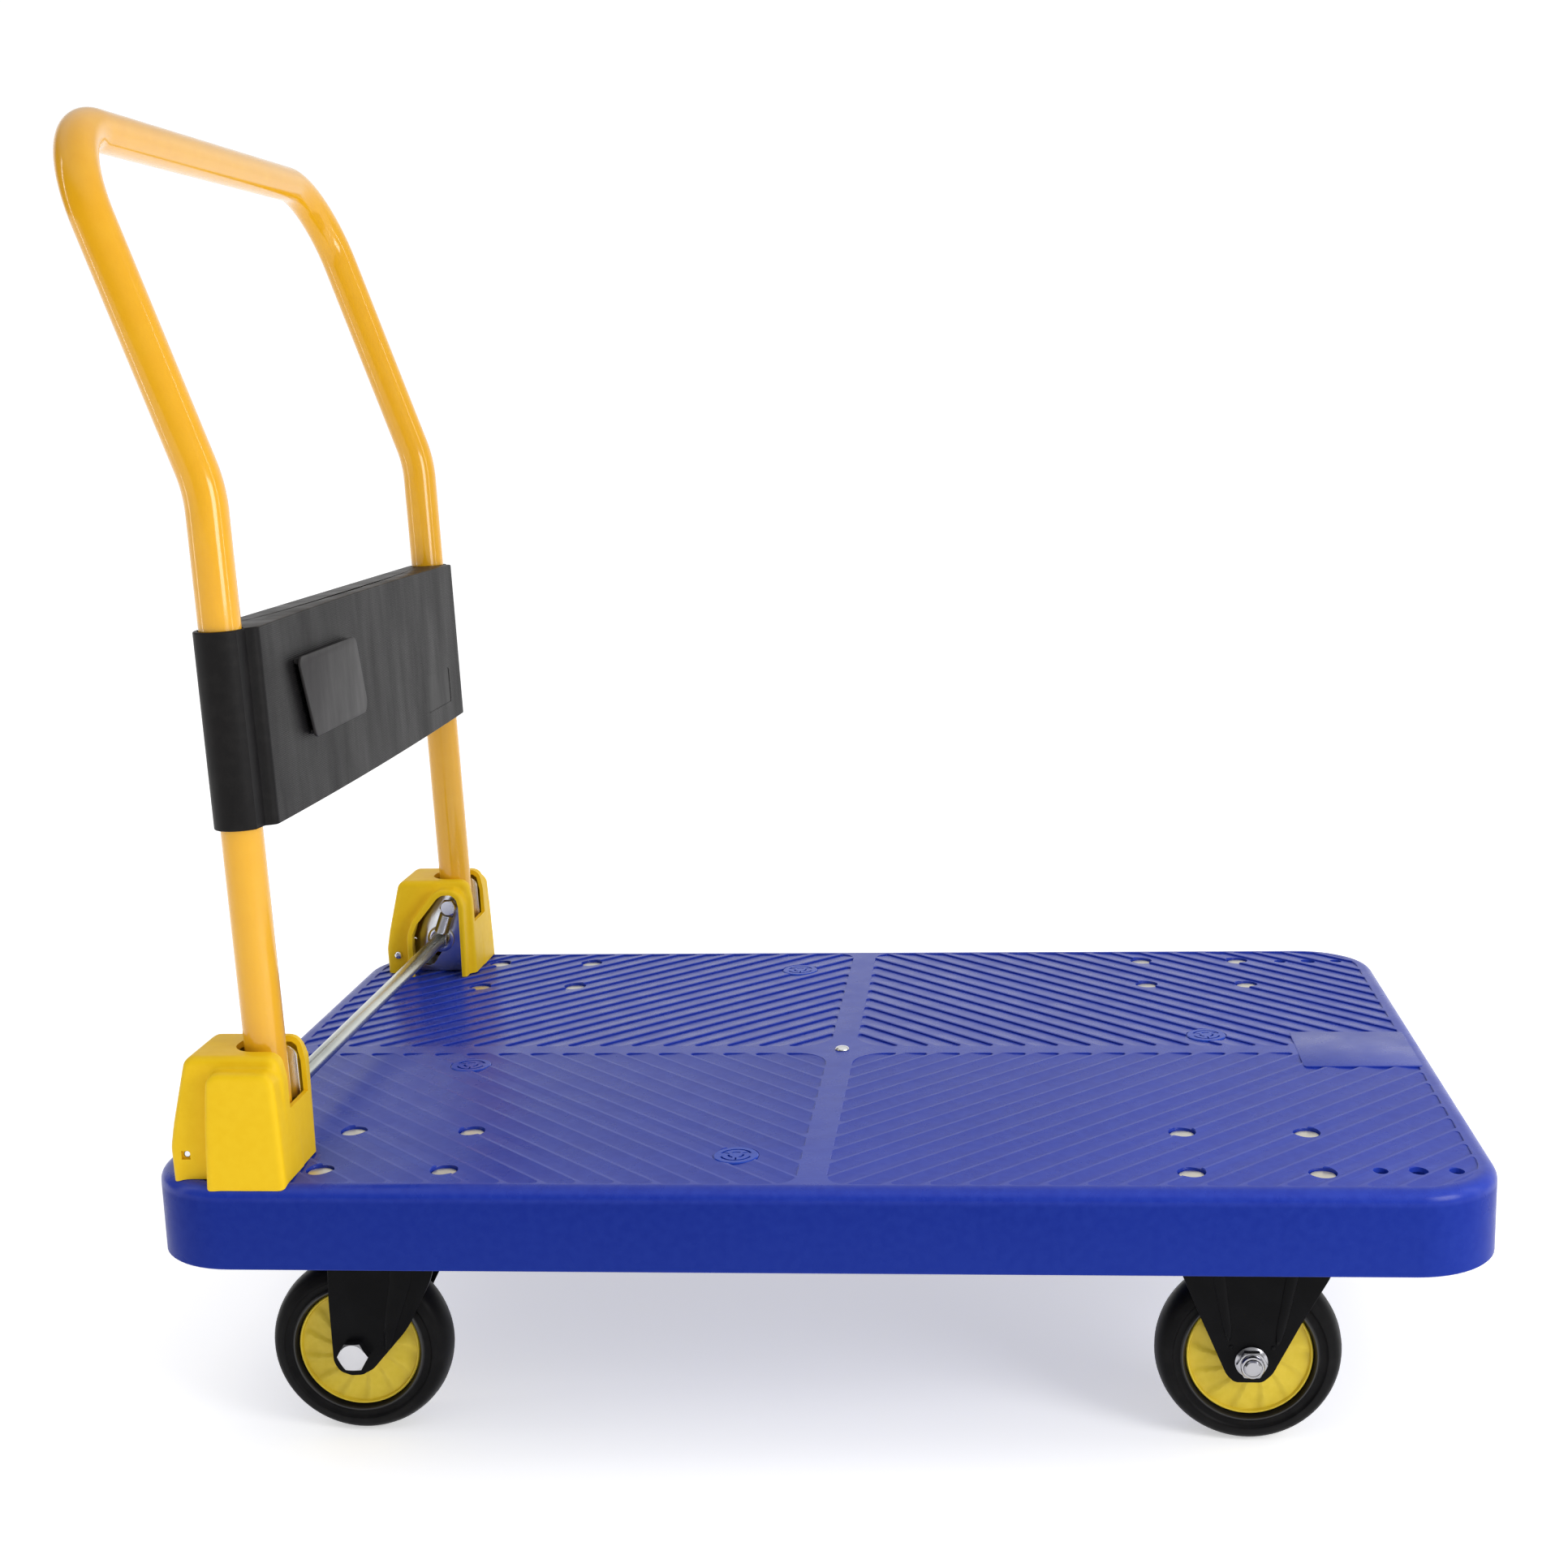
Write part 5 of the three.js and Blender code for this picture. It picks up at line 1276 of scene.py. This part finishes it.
def panel_loft():
    """The panel and its two sleeves lofted over the height, with fine horizontal ribs on the face."""
    rows = 4 * 104
    tall = 130
    ends = [(0.0, 0.9), (0.2 / tall, 0.45), (0.5 / tall, 0.15)]
    levels = ends + [(0.9 / tall + (1 - 1.8 / tall) * i / rows, 0.0) for i in range(rows + 1)]
    levels += [(1 - t, shrink) for t, shrink in reversed(ends)]
    bm = bmesh.new()
    rings = []
    bulge = 2.5
    reach = POST_Y + 18.4
    for index, (t, shrink) in enumerate(levels):
        rib = 0.16 if 3 <= index < len(levels) - 3 and (index - 3) % 4 in (1, 2) else 0.0
        half = panel_plan(rib)
        ring = half + [(x, -y) for x, y in reversed(half[1:-1])]
        if shrink:
            ring = [tuple(p) for p in offset_outline(ring, shrink)]
        verts = []
        for x, y in ring:
            bow = bulge * (1 - (y / reach) ** 2)
            z = PANEL_LOW - bow + (PANEL_HIGH - PANEL_LOW + 2 * bow) * t
            verts.append(bm.verts.new((x, y, z)))
        rings.append(verts)
    bridge(bm, rings)
    for end in (0, -1):
        bm.faces.new(rings[end])
    bmesh.ops.triangulate(bm, faces=[f for f in bm.faces if len(f.verts) > 4])
    return bm


def build_panel():
    panel = finish_mesh("panel", panel_loft(), 32)
    bores = bmesh.new()
    for side in (-1, 1):
        add_bmesh(bores, rod(14.6, 160, 320, 56), (0, side * POST_Y, 0))
    cut(panel, bores, 32)
    pockets = bmesh.new()
    reach = POST_Y - SLEEVE - 20
    step = 2 * reach / 5
    for i in range(5):
        y0 = -reach + i * step + 1.5
        back = 11 if i in (0, 4) else 13
        add_bmesh(pockets, box(back, 20, y0, y0 + step - 3, 150, PANEL_HIGH - 6))
    cut(panel, pockets, 32)
    patch = rounded_polygon(rectangle(137, 209, 187.5, 217), 2.5, 4)
    cut(panel, extruded(patch, PANEL_FACE - 0.4, 26, "yz"), 32)
    lean(panel)
    settle(panel, "handle", "panel_plastic", PANEL, "back_panel")


def lean(obj):
    turn = Matrix.Rotation(-LEAN, 4, "Y")
    obj.data.transform(Matrix.Translation((PIVOT_X * MM, 0, PIVOT_Z * MM)) @ turn)
    return obj


def build_tab():
    """Raised slanting flap on the panel's face, open towards -Y; outlines are (y, height from its top)."""
    top = PANEL_HIGH - 27
    face = PANEL_FACE + 0.3

    def sheet(corners, radius, steps, low, high, *rims):
        outline = [(y, top + z) for y, z in corners[::-1]]
        return extruded(rounded_polygon(outline, radius, steps), face + low, face + high, "yz", *rims)

    tab = finish_mesh("flap", sheet([(-192, 0), (-62, 0), (-46, -58), (-170, -58)], [5, 9, 9, 5], 6, 3.4, 5.4, 0.7, 3))
    weld(tab, sheet([(-70, -1.2), (-63.6, -1.2), (-48.5, -56.6), (-55, -56.6)], 2, 4, 0, 4.6))
    weld(tab, sheet([(-187, -1.4), (-66, -1.4), (-66, -5), (-185.6, -5)], 1.6, 4, 0, 4.5))
    weld(tab, sheet([(-167, -52.8), (-51, -52.8), (-51, -56.4), (-166, -56.4)], 1.6, 4, 0, 4.4), 30)
    lean(tab)
    settle(tab, "handle", "panel_plastic", FLAP, "panel_tab")


# ------------------------------------------------------------------ stage
# Strength of the studio surround by direction.
FRONT_LEFT, FRONT_RIGHT = 0.1, 0.52
BACK_HIGH, OVERHEAD, BACKDROP = 0.65, 0.95, 1.06
PHOTO_SIDE = 1932  # pixels


def build_camera():
    data = bpy.data.cameras.new("camera")
    camera = bpy.data.objects.new("camera", data)
    bpy.context.scene.collection.objects.link(camera)
    yaw, pitch, roll = (math.radians(a) for a in (4.26, 11.69, -1.35))
    forward = Vector((-math.sin(yaw) * math.cos(pitch), math.cos(yaw) * math.cos(pitch), -math.sin(pitch)))
    right = Vector((math.cos(yaw), math.sin(yaw), 0))
    up = right.cross(forward)
    right, up = right * math.cos(roll) + up * math.sin(roll), up * math.cos(roll) - right * math.sin(roll)
    turn = Matrix((right, up, -forward)).transposed().to_4x4()
    camera.matrix_world = Matrix.Translation(((130.4 + SHIFT) * MM, -1.5964, 0.7112)) @ turn
    data.sensor_width = 36.0
    data.lens = 36.0 * 2623.5 / PHOTO_SIDE
    data.shift_x = (PHOTO_SIDE / 2 - 1049.4) / PHOTO_SIDE
    data.shift_y = (1023.8 - PHOTO_SIDE / 2) / PHOTO_SIDE
    data.clip_start, data.clip_end = 0.05, 60
    bpy.context.scene.camera = camera


def area_light(name, location, target, size, power):
    data = bpy.data.lights.new(name, "AREA")
    data.shape = "RECTANGLE"
    data.size, data.size_y = size
    data.energy = power
    lamp = bpy.data.objects.new(name, data)
    bpy.context.scene.collection.objects.link(lamp)
    lamp.location = location
    direction = Vector(target) - Vector(location)
    lamp.rotation_mode = "QUATERNION"
    lamp.rotation_quaternion = direction.to_track_quat("-Z", "Y")


def build_world():
    """Studio surround by direction: white behind the cart, paler to the right, dimmer front left and overhead."""
    world = bpy.data.worlds.new("studio")
    world.use_nodes = True
    tree = world.node_tree
    back = tree.nodes["Background"]
    back.inputs["Color"].default_value = (1, 1, 1, 1)
    where = tree.nodes.new("ShaderNodeSeparateXYZ")
    tree.links.new(tree.nodes.new("ShaderNodeTexCoord").outputs["Generated"], where.inputs[0])

    def ramp(value, from_low, from_high, low, high):
        made = tree.nodes.new("ShaderNodeMapRange")
        made.interpolation_type = "SMOOTHSTEP"
        made.inputs["From Min"].default_value = from_low
        made.inputs["From Max"].default_value = from_high
        for key, part in (("To Min", low), ("To Max", high)):
            if isinstance(part, float):
                made.inputs[key].default_value = part
            else:
                tree.links.new(part, made.inputs[key])
        tree.links.new(value, made.inputs["Value"])
        return made.outputs["Result"]

    x, y, z = (where.outputs[axis] for axis in "XYZ")
    front = ramp(x, -0.6, 0.6, FRONT_LEFT, FRONT_RIGHT)
    behind = ramp(z, 0.2, 0.45, BACKDROP, BACK_HIGH)
    level = ramp(y, 0.3, 0.75, front, behind)
    around = ramp(z, 0.4, 0.85, level, OVERHEAD)
    seen = tree.nodes.new("ShaderNodeLightPath").outputs["Is Camera Ray"]
    tree.links.new(ramp(seen, 0.0, 1.0, around, BACKDROP), back.inputs["Strength"])
    bpy.context.scene.world = world


def build_stage():
    bm = bmesh.new()
    segments = 24
    rings = [[bm.verts.new((0, 0, 0))]]
    for r in (1.5, 3.0, 6.0, 14.0):
        rings.append([bm.verts.new((x, y, 0)) for x, y in circle(r, segments)])
    for a, b in zip(rings, rings[1:]):
        for i in range(segments):
            j = (i + 1) % segments
            bm.faces.new((a[0], b[i], b[j]) if len(a) == 1 else (a[i], b[i], b[j], a[j]))
    floor = finish_mesh("floor", bm, 30, 1.0)
    n = Nodes("floor_card")
    shade = n.mix(n.span(n.noise(1.5, 2.0), 0.0, 1.0), (0.89, 0.89, 0.89), (0.91, 0.91, 0.91))
    n.link(shade, n.shader.inputs["Base Color"])
    n.set(Roughness=0.85, Specular_IOR_Level=0.1, Emission_Color=(1, 1, 1, 1), Emission_Strength=0.5)
    floor.data.materials.append(n.material)
    build_world()
    area_light("left_strip", (-2.6, -0.6, 1.2), (PIVOT_X * MM, 0, 0.6), (0.12, 2.2), 7)
    area_light("right_strip", (2.6, -0.15, 1.2), (PIVOT_X * MM, 0, 0.6), (0.12, 2.2), 7)
    area_light("right_softbox", (1.35, -1.15, 0.8), (0.35, 0, 0.2), (0.7, 0.7), 13)
    scene = bpy.context.scene
    scene.view_settings.view_transform = "Standard"
    scene.view_settings.look = "None"


build_camera()
build_stage()
build_deck()
build_plugs()
build_mount_bolts()
for name, sign in (("left", 1), ("right", -1)):
    build_swivel_fork(name, SHIFT - CASTER_X, sign * CASTER_Y)
    build_rigid_fork(name, SHIFT + CASTER_X, sign * CASTER_Y)
build_hinges()
build_release_bar()
build_tube()
build_panel()
build_tab()
